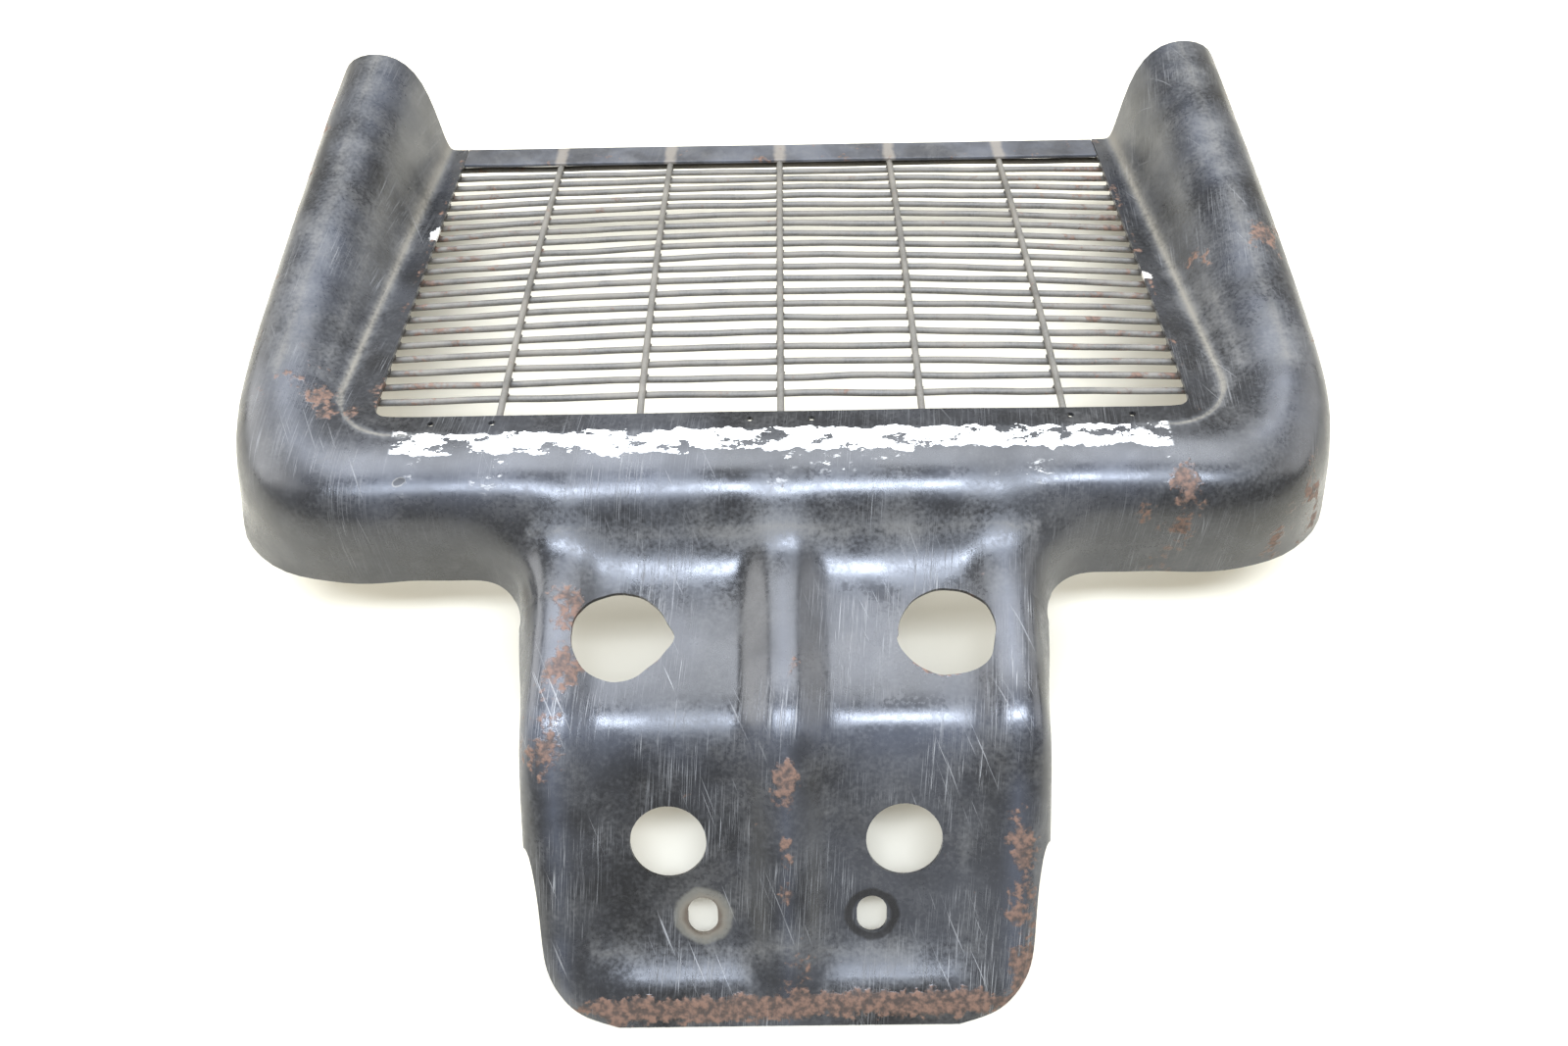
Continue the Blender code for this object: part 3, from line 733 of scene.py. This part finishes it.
def grilleBow(x, along):
    across = cos(pi / 2 * min(1.0, abs(x) / grilleHalf)) ** grille["bowAcross"]
    share = min(1.0, max(0.0, (along - grille["bowStart"]) / (grille["start"] + grilleReach)))
    return grille["bow"] * across * sin(pi * share) ** grille["bowAlong"]


def bendNoise(x, along, seed):
    spot = Vector((x / grille["bendSize"], along / grille["bendSize"] * 0.6, seed))
    return noise.noise(spot) * grille["bend"], noise.noise(spot + Vector((9.3, 4.1, 0))) * grille["bend"]


def wirePlace(x, along, below, seed):
    slide, lift = bendNoise(x, along, seed)
    held = min(1.0, (grilleHalf - abs(x)) / grille["held"])
    return grillePoint(x, along + slide * held, below - grilleBow(x, along) - lift * held * grille["lift"])


def roundWire(name, spine):  # a straight rod is cut into rings, which are then carried along the wire's line
    deselectAll()
    steps = len(spine) - 1
    bpy.ops.mesh.primitive_cylinder_add(vertices=grille["sides"], radius=grille["wire"] / 2 * mm, depth=1.0)
    wire = bpy.context.object
    wire.name = wire.data.name = name
    cutAcross(wire, 2, 0.5, steps - 1)
    for vertex in wire.data.vertices:
        number = round((vertex.co.z + 0.5) * steps)
        before, after = spine[max(0, number - 1)], spine[min(steps, number + 1)]
        forward = (after - before).normalized()
        side = forward.cross(grilleNormal).normalized()
        over = side.cross(forward)
        vertex.co = spine[number] * mm + side * vertex.co.x + over * vertex.co.y
    faceOutward()
    shadeSmooth(wire, 50)
    return wire


def weldGrille():
    wires = {}
    xs = [mix(-grilleHalf, grilleHalf, step / grille["cuts"]) for step in range(grille["cuts"] + 1)]
    for number, along in enumerate(crossAlongs):
        spine = [wirePlace(x, along, crossBelow, number * 1.7) for x in xs]
        wires[f"cross_wire_{number + 1:02d}"] = roundWire(f"crossWire{number + 1:02d}", spine)
    length = grilleReach + grille["start"] + 2 * grille["overlap"]
    start, cuts = -grille["overlap"] - grille["uprightStart"], grille["uprightCuts"]
    alongs = [mix(start, start + length, step / cuts) for step in range(cuts + 1)]
    for number, x in enumerate(uprightXs):
        spine = [grillePoint(x, along, uprightBelow - grilleBow(x, along)) for along in alongs]
        wires[f"upright_wire_{number + 1}"] = roundWire(f"uprightWire{number + 1}", spine)
    print("grille:", len(wires), "wires")
    return wires


welds = {"radius": 1.9, "flat": 0.55, "past": 0.8, "uneven": 0.25, "long": 1.25}
endWelds = {"radius": 2.4, "flat": 0.8, "in": 2.5, "up": 0.4}


def addDab(place, radius, flat):  # a small uneven drop of weld metal
    deselectAll()
    bpy.ops.mesh.primitive_ico_sphere_add(subdivisions=1, radius=radius * mm)
    dab = bpy.context.object
    for vertex in dab.data.vertices:
        vertex.co *= 1 + welds["uneven"] * noise.noise(vertex.co / mm + place * 0.37)
    dab.scale = (welds["long"], 1.0, flat)
    dab.rotation_euler.x = -slope
    dab.location = place * mm
    return dab


def weldDabs():
    between = uprightBelow + (grille["wire"] + grille["gap"]) / 2
    dabs = []
    for along in crossAlongs:
        for x in uprightXs:
            place = grillePoint(x, along + welds["past"], between - grilleBow(x, along))
            dabs.append(addDab(place, welds["radius"], welds["flat"]))
        for side in (-1, 1):
            place = grillePoint(side * (grilleHalf - endWelds["in"]), along, between - endWelds["up"])
            dabs.append(addDab(place, endWelds["radius"], endWelds["flat"]))
    joined = joinAs("wireWelds", dabs)
    settle(joined)
    shadeSmooth(joined, 60)
    print("welds:", len(dabs))
    return joined


# The strip across the far edge of the window, with a burnt weld mark above each upright wire.
strip = {"edge": 0.5, "cuts": 40, "wave": 0.35, "waveSize": 0.06}


def topStrip():
    deselectAll()
    low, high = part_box("top_strip")
    along = (stripBack() - windowFront) / cos(slope) - shell["strip"] / 2
    bpy.ops.mesh.primitive_cube_add(size=1, location=grillePoint(0, along, shell["sheet"] / 2) * mm)
    bar = bpy.context.object
    bar.dimensions = (high.x - low.x, shell["strip"] * mm, shell["sheet"] * mm)
    bar.rotation_euler.x = -slope
    settle(bar)
    setMode("EDIT")
    bpy.ops.mesh.select_all(action="SELECT")
    bpy.ops.mesh.bevel(offset=strip["edge"] * mm, segments=2, affect="EDGES")
    setMode("OBJECT")
    cutAcross(bar, 0, 0.1, strip["cuts"])
    for vertex in bar.data.vertices:
        bend = noise.noise(Vector((vertex.co.x / strip["waveSize"], 3.3, 0))) * strip["wave"] * mm
        vertex.co += grilleDown * bend
    bar.name = bar.data.name = "topBar"
    shadeSmooth(bar, 40)
    return bar


def makeGroup(name, inputs, outputs):
    group = bpy.data.node_groups.new(name, "ShaderNodeTree")
    for label, kind, value in inputs:
        socket = group.interface.new_socket(name=label, in_out="INPUT", socket_type="NodeSocket" + kind)
        socket.default_value = value
    for label, kind in outputs:
        group.interface.new_socket(name=label, in_out="OUTPUT", socket_type="NodeSocket" + kind)
    return group, group.nodes.new("NodeGroupInput"), group.nodes.new("NodeGroupOutput")


def fill(tree, made, values):  # each input takes a link or a plain value
    for key, value in values.items():
        if isinstance(value, bpy.types.NodeSocket):
            tree.links.new(value, made.inputs[key])
        else:
            made.inputs[key].default_value = value
    return made


def put(tree, kind, values, **settings):
    made = tree.nodes.new("ShaderNode" + kind)
    for key, value in settings.items():
        setattr(made, key, value)
    return fill(tree, made, values)


def grains(tree, spot, scale, detail=4.0, rough=0.55, stretch=None):
    if stretch:
        spot = put(tree, "Mapping", {"Vector": spot, "Scale": stretch}).outputs[0]
    values = {"Vector": spot, "Scale": scale, "Detail": detail, "Roughness": rough}
    return put(tree, "TexNoise", values).outputs["Fac"]


falling = (1.0, 0.0)


def step(tree, value, low, high, to=(0.0, 1.0)):
    values = {"Value": value, "From Min": low, "From Max": high, "To Min": to[0], "To Max": to[1]}
    return put(tree, "MapRange", values, interpolation_type="SMOOTHSTEP").outputs[0]


def calc(tree, operation, a, b=0.0, clamp=False):
    return put(tree, "Math", {0: a, 1: b}, operation=operation, use_clamp=clamp).outputs[0]


def times(tree, a, b, clamp=False):
    return calc(tree, "MULTIPLY", a, b, clamp)


def plus(tree, a, b):
    return calc(tree, "ADD", a, b)


def larger(tree, a, b, clamp=False):
    return calc(tree, "MAXIMUM", a, b, clamp)


def placeParts(tree, spot):
    return put(tree, "SeparateXYZ", {0: spot}).outputs


def blend(tree, share, first, second):
    return put(tree, "MixRGB", {"Fac": share, "Color1": first, "Color2": second}).outputs[0]


spotInput, amountInput = ("Spot", "Vector", (0, 0, 0)), ("Amount", "Float", 0.3)
rustLook = {
    "broad": 0.72,  # the share of the broad noise, against the fine one
    "amount": 0.39,
    "least": 0.71,
    "most": 0.86,
    "dark": (0.032, 0.019, 0.013, 1),
    "light": (0.130, 0.070, 0.045, 1),
}


def rustGroup():  # orange-brown spots that break through where Amount is high
    inputs = [spotInput, amountInput, ("Scale", "Float", 60.0)]
    outputs = [("Mask", "Float"), ("Colour", "Color"), ("Height", "Float")]
    group, given, result = makeGroup("rustBreak", inputs, outputs)
    spot, amount, scale = (given.outputs[name] for name in ("Spot", "Amount", "Scale"))
    broad = grains(group, spot, scale, 6.0, 0.62)
    fine = grains(group, spot, times(group, scale, 5.0), 3.0, 0.5)
    level = plus(group, times(group, broad, rustLook["broad"]), times(group, fine, 1 - rustLook["broad"]))
    over = plus(group, level, times(group, amount, rustLook["amount"]))
    over = calc(group, "SUBTRACT", over, rustLook["least"])
    mask = times(group, step(group, over, -0.01, 0.09), rustLook["most"])
    colour = blend(group, step(group, fine, 0.35, 0.68), rustLook["dark"], rustLook["light"])
    fill(group, result, {"Mask": mask, "Colour": colour, "Height": times(group, mask, fine)})
    return group


dustLook = {
    "cloud": 0.58,  # the share of the clouds, against the specks
    "speckScale": 14.0,
    "amount": 0.4,
    "least": 0.25,
    "dark": (0.085, 0.087, 0.090, 1),
    "pale": (0.135, 0.132, 0.125, 1),
    "thick": (0.215, 0.195, 0.155, 1),
}


def dustGroup():  # pale dry dust, in clouds
    inputs = [spotInput, amountInput, ("Scale", "Float", 45.0)]
    outputs = [("Mask", "Float"), ("Colour", "Color")]
    group, given, result = makeGroup("dustFilm", inputs, outputs)
    spot, amount, scale = (given.outputs[name] for name in ("Spot", "Amount", "Scale"))
    cloud = grains(group, spot, scale, 7.0, 0.65)
    speck = grains(group, spot, times(group, scale, dustLook["speckScale"]), 2.0, 0.5)
    shaped = plus(group, times(group, cloud, dustLook["cloud"]), times(group, speck, 1 - dustLook["cloud"]))
    over = plus(group, shaped, times(group, amount, dustLook["amount"]))
    mask = times(group, step(group, over, 0.46, 0.84), plus(group, dustLook["least"], amount), clamp=True)
    grey = blend(group, step(group, cloud, 0.4, 0.65), dustLook["dark"], dustLook["pale"])
    colour = blend(group, step(group, amount, 0.4, 0.75), grey, dustLook["thick"])
    fill(group, result, {"Mask": mask, "Colour": colour})
    return group


scratchLook = {  # how far each set is turned, and how its noise is drawn out into lines
    "tilt": 0.09,
    "lines": (1500.0, 30.0, 30.0),
    "slant": -0.42,
    "slanted": (1000.0, 19.0, 19.0),
    "hairs": (3000.0, 40.0, 40.0),
    "hairShare": 0.45,
    "patches": 24.0,
}


def scratchGroup():  # long fine scratches in two directions, thinned out by a broad cloud
    group, given, result = makeGroup("fineScratches", [spotInput, amountInput], [("Mask", "Float")])
    spot, amount = given.outputs["Spot"], given.outputs["Amount"]
    tilted, slanted = (
        put(group, "Mapping", {"Vector": spot, "Rotation": (0, 0, scratchLook[turn])}).outputs[0]
        for turn in ("tilt", "slant")
    )
    lines = grains(group, tilted, 1.0, 3.0, 0.6, scratchLook["lines"])
    more = grains(group, slanted, 1.0, 2.0, 0.5, scratchLook["slanted"])
    patches = step(group, grains(group, spot, scratchLook["patches"], 3.0), 0.42, 0.66)
    hairs = grains(group, tilted, 1.0, 2.0, 0.6, scratchLook["hairs"])
    hairs = times(group, step(group, hairs, 0.56, 0.66), scratchLook["hairShare"])
    mask = larger(group, step(group, lines, 0.62, 0.7), step(group, more, 0.67, 0.75))
    mask = times(group, larger(group, mask, hairs), patches)
    fill(group, result, {"Mask": times(group, mask, amount, clamp=True)})
    return group


effects = {"rust": rustGroup(), "dust": dustGroup(), "scratch": scratchGroup()}


def useGroup(tree, effect, spot, **values):
    made = tree.nodes.new("ShaderNodeGroup")
    made.node_tree = effects[effect]
    return fill(tree, made, {"Spot": spot, **values})


def newMaterial(name, ior=1.53):
    made = bpy.data.materials.new(name)
    made.use_nodes = True
    shader = made.node_tree.nodes["Principled BSDF"]
    shader.inputs["IOR"].default_value = ior
    spot = made.node_tree.nodes.new("ShaderNodeTexCoord").outputs["Object"]
    return made, made.node_tree, shader, spot


def ringMask(tree, spot, centre, inner, outer, soft):  # a ring round a place, in millimetres
    away = put(tree, "VectorMath", {0: spot, 1: tuple(centre * mm)}, operation="DISTANCE").outputs["Value"]
    wobble = times(tree, grains(tree, spot, 160.0, 3.0), soft * 1.6 * mm)
    away = plus(tree, away, wobble)
    inside = step(tree, away, (inner - soft) * mm, inner * mm)
    return times(tree, inside, step(tree, away, outer * mm, (outer + soft) * mm, falling))


def pocketPoint(x, up):
    normal = Vector((0, -sin(endSlope), cos(endSlope)))
    return slopePoint(x, up) - normal * shell["pocket"]


paint = {
    "black": (0.0045, 0.0050, 0.0066, 1),
    "faded": (0.026, 0.0275, 0.032, 1),
    # the lighter bluish tint of the ridges' painted highlight and rubbed wear
    "sheenAndWear": (0.046, 0.052, 0.068, 1),
    "scratch": (0.20, 0.20, 0.20, 1),
    "decal": (0.80, 0.79, 0.75, 1),
    "oldRing": (0.075, 0.058, 0.042, 1),
    "paleRing": (0.14, 0.132, 0.108, 1),
    "darkRing": (0.006, 0.006, 0.007, 1),
    "weldMark": (0.17, 0.15, 0.125, 1),
    "gloss": (0.20, 0.37),
    "bump": 0.00035,
    "plainBump": 0.0004,
}
rings = (  # the side of its bolt slot, inner and outer radius, softness, strength, colour
    (-1, 0.0, 11.0, 2.5, 0.8, "oldRing"),
    (-1, 11.0, 13.0, 2.0, 0.5, "paleRing"),
    (1, 10.0, 12.0, 1.5, 0.85, "darkRing"),
)
rimRust = {"inner": 18.0, "outer": 20.5, "soft": 2.5, "strength": 0.75}
decal = {
    "from": 0.5,
    "to": 12.5,
    "edge": 0.5,
    "left": -172.0,
    "right": 168.0,
    "fade": 3.0,
    "flakesTo": 33.0,
    "stray": 0.011,
    "heights": (0.098, 0.1),
}


def decalMask(tree, spot):  # what is left of a plain stripe that has peeled, with thin flakes below it
    x, y, z = placeParts(tree, spot)
    ragged = times(tree, calc(tree, "SUBTRACT", grains(tree, spot, 95.0, 4.0), 0.5), decal["stray"])
    edge = plus(tree, y, ragged)
    start, stop = foldY - decal["from"], foldY - decal["to"]
    top = step(tree, edge, start * mm, (start + decal["edge"]) * mm, falling)
    low = step(tree, edge, stop * mm, (stop + decal["edge"]) * mm)
    left = step(tree, x, decal["left"] * mm, (decal["left"] + decal["fade"]) * mm)
    right = step(tree, x, decal["right"] * mm, (decal["right"] + decal["fade"]) * mm, falling)
    ends = times(tree, left, right)
    holesIn = step(tree, grains(tree, spot, 120.0, 5.0, 0.7, (0.55, 1.0, 1.0)), 0.442, 0.455)
    stripe = times(tree, times(tree, top, low), holesIn)
    threads = step(tree, grains(tree, spot, 210.0, 6.0, 0.72, (0.5, 1.2, 1.2)), 0.57, 0.585)
    below = step(tree, y, (foldY - decal["flakesTo"]) * mm, stop * mm)
    within = times(tree, below, step(tree, y, (foldY - decal["fade"]) * mm, foldY * mm, falling))
    broken = step(tree, grains(tree, spot, 42.0, 4.0), 0.52, 0.6, (0.0, 0.75))
    flakes = times(tree, times(tree, threads, within), broken)
    upper = step(tree, z, *decal["heights"])
    both = larger(tree, stripe, flakes)
    return times(tree, times(tree, both, ends), upper, clamp=True)


def readMask(tree, name):
    return put(tree, "Attribute", {}, attribute_name=name).outputs["Fac"]


chips = (  # place, length, width, turn in degrees, colour
    ((-165.5, -42.5, 108.0), 3.3, 2.1, 20.0, (0.11, 0.105, 0.095, 1)),
    ((-165.2, -42.3, 108.0), 2.8, 1.6, 20.0, (0.006, 0.006, 0.007, 1)),
    ((-200.0, -42.0, 80.0), 3.0, 2.5, 0.0, (0.33, 0.30, 0.17, 1)),
    ((-181.5, 145.0, 70.0), 11.0, 4.8, 62.0, (0.62, 0.61, 0.57, 1)),
    ((181.5, 94.0, 81.0), 7.0, 3.6, -15.0, (0.50, 0.47, 0.42, 1)),
    ((58.0, -97.0, 84.0), 2.6, 2.4, 0.0, (0.26, 0.235, 0.19, 1)),
)
chipDepth = 14.0  # a chip is much the same this far above and below its place


def chipMask(tree, spot, place, length, width, turn):  # a small uneven patch
    values = {"Vector": spot, "Location": tuple(Vector(place) * mm), "Rotation": (0, 0, radians(turn))}
    values["Scale"] = (length * mm, width * mm, chipDepth * mm)
    local = put(tree, "Mapping", values, vector_type="TEXTURE").outputs[0]
    away = put(tree, "VectorMath", {0: local}, operation="LENGTH").outputs["Value"]
    away = plus(tree, away, times(tree, grains(tree, spot, 420.0, 3.0), 0.9))
    return step(tree, away, 1.3, 1.45, falling)


def finishPaint(tree, shader, colour, rough, height, deep):
    bump = put(tree, "Bump", {"Height": height, "Strength": 0.8, "Distance": deep})
    fill(tree, shader, {"Base Color": colour, "Roughness": rough, "Normal": bump.outputs[0]})


def guardPaint():
    made, tree, shader, spot = newMaterial("guardPaint")
    broad, fine = grains(tree, spot, 13.0, 5.0), grains(tree, spot, 240.0, 3.0)
    colour = blend(tree, step(tree, broad, 0.38, 0.68), paint["black"], paint["faded"])
    # the ridges turn a lighter bluish grey: painted highlight, with rubbed wear
    polished = times(tree, readMask(tree, "polish"), step(tree, broad, 0.3, 0.6), clamp=True)
    colour = blend(tree, times(tree, polished, 0.6), colour, paint["sheenAndWear"])
    gloss = step(tree, grains(tree, spot, 34.0, 6.0, 0.65), 0.35, 0.7, paint["gloss"])

    _, y, _ = placeParts(tree, spot)
    onTongue = step(tree, y, barFront * mm, barFront * mm - 0.03, (0.7, 1.6))
    scratch = useGroup(tree, "scratch", spot, Amount=onTongue).outputs[0]
    colour = blend(tree, times(tree, scratch, 0.75), colour, paint["scratch"])
    white = decalMask(tree, spot)
    colour = blend(tree, white, colour, paint["decal"])

    dustMask, dustColour = useGroup(tree, "dust", spot, Amount=readMask(tree, "dust"), Scale=42.0).outputs
    colour = blend(tree, times(tree, dustMask, 0.62), colour, dustColour)
    for side, inner, outer, soft, strength, tint in rings:
        middle = pocketPoint(side * holes["bolt"]["x"], holes["bolt"]["up"])
        ring = ringMask(tree, spot, middle, inner, outer, soft)
        colour = blend(tree, times(tree, ring, strength), colour, paint[tint])
    for place, length, width, turn, tint in chips:
        colour = blend(tree, chipMask(tree, spot, place, length, width, turn), colour, tint)

    amount = readMask(tree, "rust")
    for side in (-1, 1):
        middle = Vector((side * holes["upper"]["x"], holes["upper"]["y"], shell["shelf"] - shell["pocket"]))
        rim = ringMask(tree, spot, middle, rimRust["inner"], rimRust["outer"], rimRust["soft"])
        amount = larger(tree, amount, times(tree, rim, rimRust["strength"]))
    rustMask, rustColour, rustHeight = useGroup(tree, "rust", spot, Amount=amount, Scale=76.0).outputs
    colour = blend(tree, rustMask, colour, rustColour)

    rough = plus(tree, gloss, times(tree, dustMask, 0.38))
    rough = plus(tree, rough, times(tree, scratch, 0.15))
    rough = larger(tree, rough, times(tree, rustMask, 0.82))
    rough = larger(tree, rough, times(tree, white, 0.55), clamp=True)
    height = plus(tree, times(tree, fine, 0.12), times(tree, rustHeight, 0.9))
    height = calc(tree, "SUBTRACT", height, times(tree, scratch, 0.25))
    height = plus(tree, height, times(tree, white, 0.25))
    finishPaint(tree, shader, colour, rough, height, paint["bump"])
    return made


weldMark = {"half": (0.0035, 0.0065), "stray": 0.004, "outermost": (0.14, 0.145), "strength": 0.75}
wireRust = {"least": 0.24, "atEnds": 0.3, "from": 0.100, "to": 0.187}


def weldMarks(tree, spot):  # pale burnt patches on the strip, one above each upright wire
    x = calc(tree, "ABSOLUTE", placeParts(tree, spot)[0])
    pitch = grille["uprightPitch"] * mm
    nearest = calc(tree, "MODULO", plus(tree, x, pitch / 2), pitch)
    away = calc(tree, "ABSOLUTE", calc(tree, "SUBTRACT", nearest, pitch / 2))
    away = plus(tree, away, times(tree, grains(tree, spot, 140.0, 4.0), weldMark["stray"]))
    inside = step(tree, x, *weldMark["outermost"], falling)
    return times(tree, step(tree, away, *weldMark["half"], (weldMark["strength"], 0.0)), inside, clamp=True)


def endRust(tree, spot):  # rust towards the wires' ends
    x = calc(tree, "ABSOLUTE", placeParts(tree, spot)[0])
    ends = step(tree, x, wireRust["from"], wireRust["to"], (0.0, wireRust["atEnds"]))
    return plus(tree, ends, wireRust["least"])


plainPaints = {  # the two colours, how much dust and rust, and the gloss from smooth to rough
    "wirePaint": ((0.030, 0.028, 0.025, 1), (0.095, 0.084, 0.068, 1), 0.6, endRust, (0.34, 0.5)),
    "barPaint": ((0.022, 0.023, 0.028, 1), (0.055, 0.058, 0.068, 1), 0.35, 0.3, (0.3, 0.5)),
    "bracketPaint": ((0.012, 0.013, 0.016, 1), (0.035, 0.037, 0.044, 1), 0.3, 0.45, (0.3, 0.5)),
    "weldPaint": ((0.030, 0.028, 0.027, 1), (0.075, 0.062, 0.050, 1), 0.4, 0.5, (0.4, 0.6)),
}


def plainPaint(name, marks=None):
    made, tree, shader, spot = newMaterial(name)
    base, faded, dustAmount, rustAmount, gloss = plainPaints[name]
    broad, fine = grains(tree, spot, 40.0, 5.0), grains(tree, spot, 300.0, 3.0)
    colour = blend(tree, step(tree, broad, 0.38, 0.66), base, faded)
    dustMask, dustColour = useGroup(tree, "dust", spot, Amount=dustAmount, Scale=60.0).outputs
    colour = blend(tree, times(tree, dustMask, 0.6), colour, dustColour)
    scratch = useGroup(tree, "scratch", spot, Amount=0.5).outputs[0]
    colour = blend(tree, times(tree, scratch, 0.4), colour, paint["scratch"])
    if marks:
        colour = blend(tree, marks(tree, spot), colour, paint["weldMark"])
    amount = rustAmount(tree, spot) if callable(rustAmount) else rustAmount
    rustMask, rustColour, rustHeight = useGroup(tree, "rust", spot, Amount=amount, Scale=85.0).outputs
    colour = blend(tree, rustMask, colour, rustColour)
    rough = plus(tree, step(tree, broad, 0.3, 0.7, gloss), times(tree, dustMask, 0.3))
    rough = larger(tree, rough, times(tree, rustMask, 0.85), clamp=True)
    height = plus(tree, times(tree, fine, 0.2), rustHeight)
    finishPaint(tree, shader, colour, rough, height, paint["plainBump"])
    return made


def coat(piece, material):
    piece.data.materials.clear()
    piece.data.materials.append(material)


def dress(piece, material, slot, *nodes):
    coat(piece, material)
    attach(piece, "root")
    if nodes:
        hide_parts(*nodes)


print("shaping the guard")
guard = pressGuard()
bar = topStrip()
wires = weldGrille()
dabs = weldDabs()

print("painting")
wirePaint, bracketPaint = plainPaint("wirePaint"), plainPaint("bracketPaint")
dress(guard, guardPaint(), "black_paint", "guard_shell")
dress(bar, plainPaint("barPaint", weldMarks), "strip_paint", "top_strip")
for node, wire in wires.items():
    dress(wire, wirePaint, "worn_wire_paint", node)
dress(dabs, plainPaint("weldPaint"), "worn_wire_paint")
for side in ("left", "right"):
    coat(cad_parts[f"arm_bracket_{side}"], bracketPaint)


room = {
    "floor": 6.0,
    "drop": 0.0008,  # keeps the floor just under the lowest point
    "floorColour": (0.56, 0.52, 0.42, 1),
    "stain": (0.36, 0.33, 0.25, 1),
    "speck": (0.5, 0.47, 0.38, 1),
    "rough": 0.75,
    "sky": (1.0, 0.96, 0.83, 1),
    "skyPower": 0.68,
}


def layFloor():
    deselectAll()
    bpy.ops.mesh.primitive_plane_add(size=room["floor"], location=(0, 0, -room["drop"]))
    floor = bpy.context.object
    floor.name = "floor"
    settle(floor)
    made, tree, shader, spot = newMaterial("paleFloor")
    stains = step(tree, grains(tree, spot, 3.2, 6.0, 0.62), 0.5, 0.78)
    specks = step(tree, grains(tree, spot, 70.0, 5.0, 0.7), 0.66, 0.72)
    colour = blend(tree, times(tree, stains, 0.35), room["floorColour"], room["stain"])
    colour = blend(tree, times(tree, specks, 0.22), colour, room["speck"])
    fill(tree, shader, {"Base Color": colour, "Roughness": room["rough"]})
    coat(floor, made)


lamps = {  # place, what it looks at, size, power and colour
    "overhead": ((0.0, 0.6, 1.5), (0, 0.1, 0), (1.9, 0.9), 48.0, (0.86, 0.91, 1.0)),
    "main": ((0.03, -0.52, 1.6), (0, -0.05, 0), (1.3, 0.24), 54.0, (0.74, 0.83, 1.0)),
    "left": ((-1.5, 0.3, 0.8), (0, 0.0, 0.05), (1.4, 1.1), 25.0, (0.97, 0.98, 1.0)),
    "right": ((1.5, 0.2, 0.8), (0, 0.0, 0.05), (1.4, 1.1), 14.0, (0.97, 0.98, 1.0)),
}


def hangLamps():
    for name, (place, aim, size, power, colour) in lamps.items():
        light = bpy.data.lights.new(name, "AREA")
        light.shape = "RECTANGLE"
        light.size, light.size_y = size
        light.energy, light.color = power, colour
        lamp = bpy.data.objects.new(name, light)
        worldCollection.objects.link(lamp)
        lamp.location = place
        lamp.rotation_euler = (Vector(aim) - Vector(place)).to_track_quat("-Z", "Y").to_euler()
    world = bpy.data.worlds.new("studio")
    world.use_nodes = True
    sky = world.node_tree.nodes["Background"]
    fill(world.node_tree, sky, {"Color": room["sky"], "Strength": room["skyPower"]})
    bpy.context.scene.world = world
    bpy.context.scene.view_settings.view_transform = "Standard"


view = {"place": (0.0049, -0.3301, 0.5678), "lens": 28.8, "sensor": 36.0}
angles = {"turn": 0.85, "down": 60.0, "roll": -1.57}  # in degrees


def setCamera():
    turn, down, roll = (radians(angle) for angle in angles.values())
    level = Vector((cos(turn), sin(turn), 0))
    forward = Vector((-sin(turn) * cos(down), cos(turn) * cos(down), -sin(down)))
    up = level.cross(forward)
    right = level * cos(roll) + up * sin(roll)
    upright = up * cos(roll) - level * sin(roll)
    data = bpy.data.cameras.new("camera")
    data.lens, data.sensor_width, data.clip_start = view["lens"], view["sensor"], 0.01
    camera = bpy.data.objects.new("camera", data)
    worldCollection.objects.link(camera)
    axes = Matrix((right, upright, -forward)).transposed().to_4x4()
    camera.matrix_world = Matrix.Translation(Vector(view["place"])) @ axes
    bpy.context.scene.camera = camera


print("setting the room")
layFloor()
hangLamps()
setCamera()
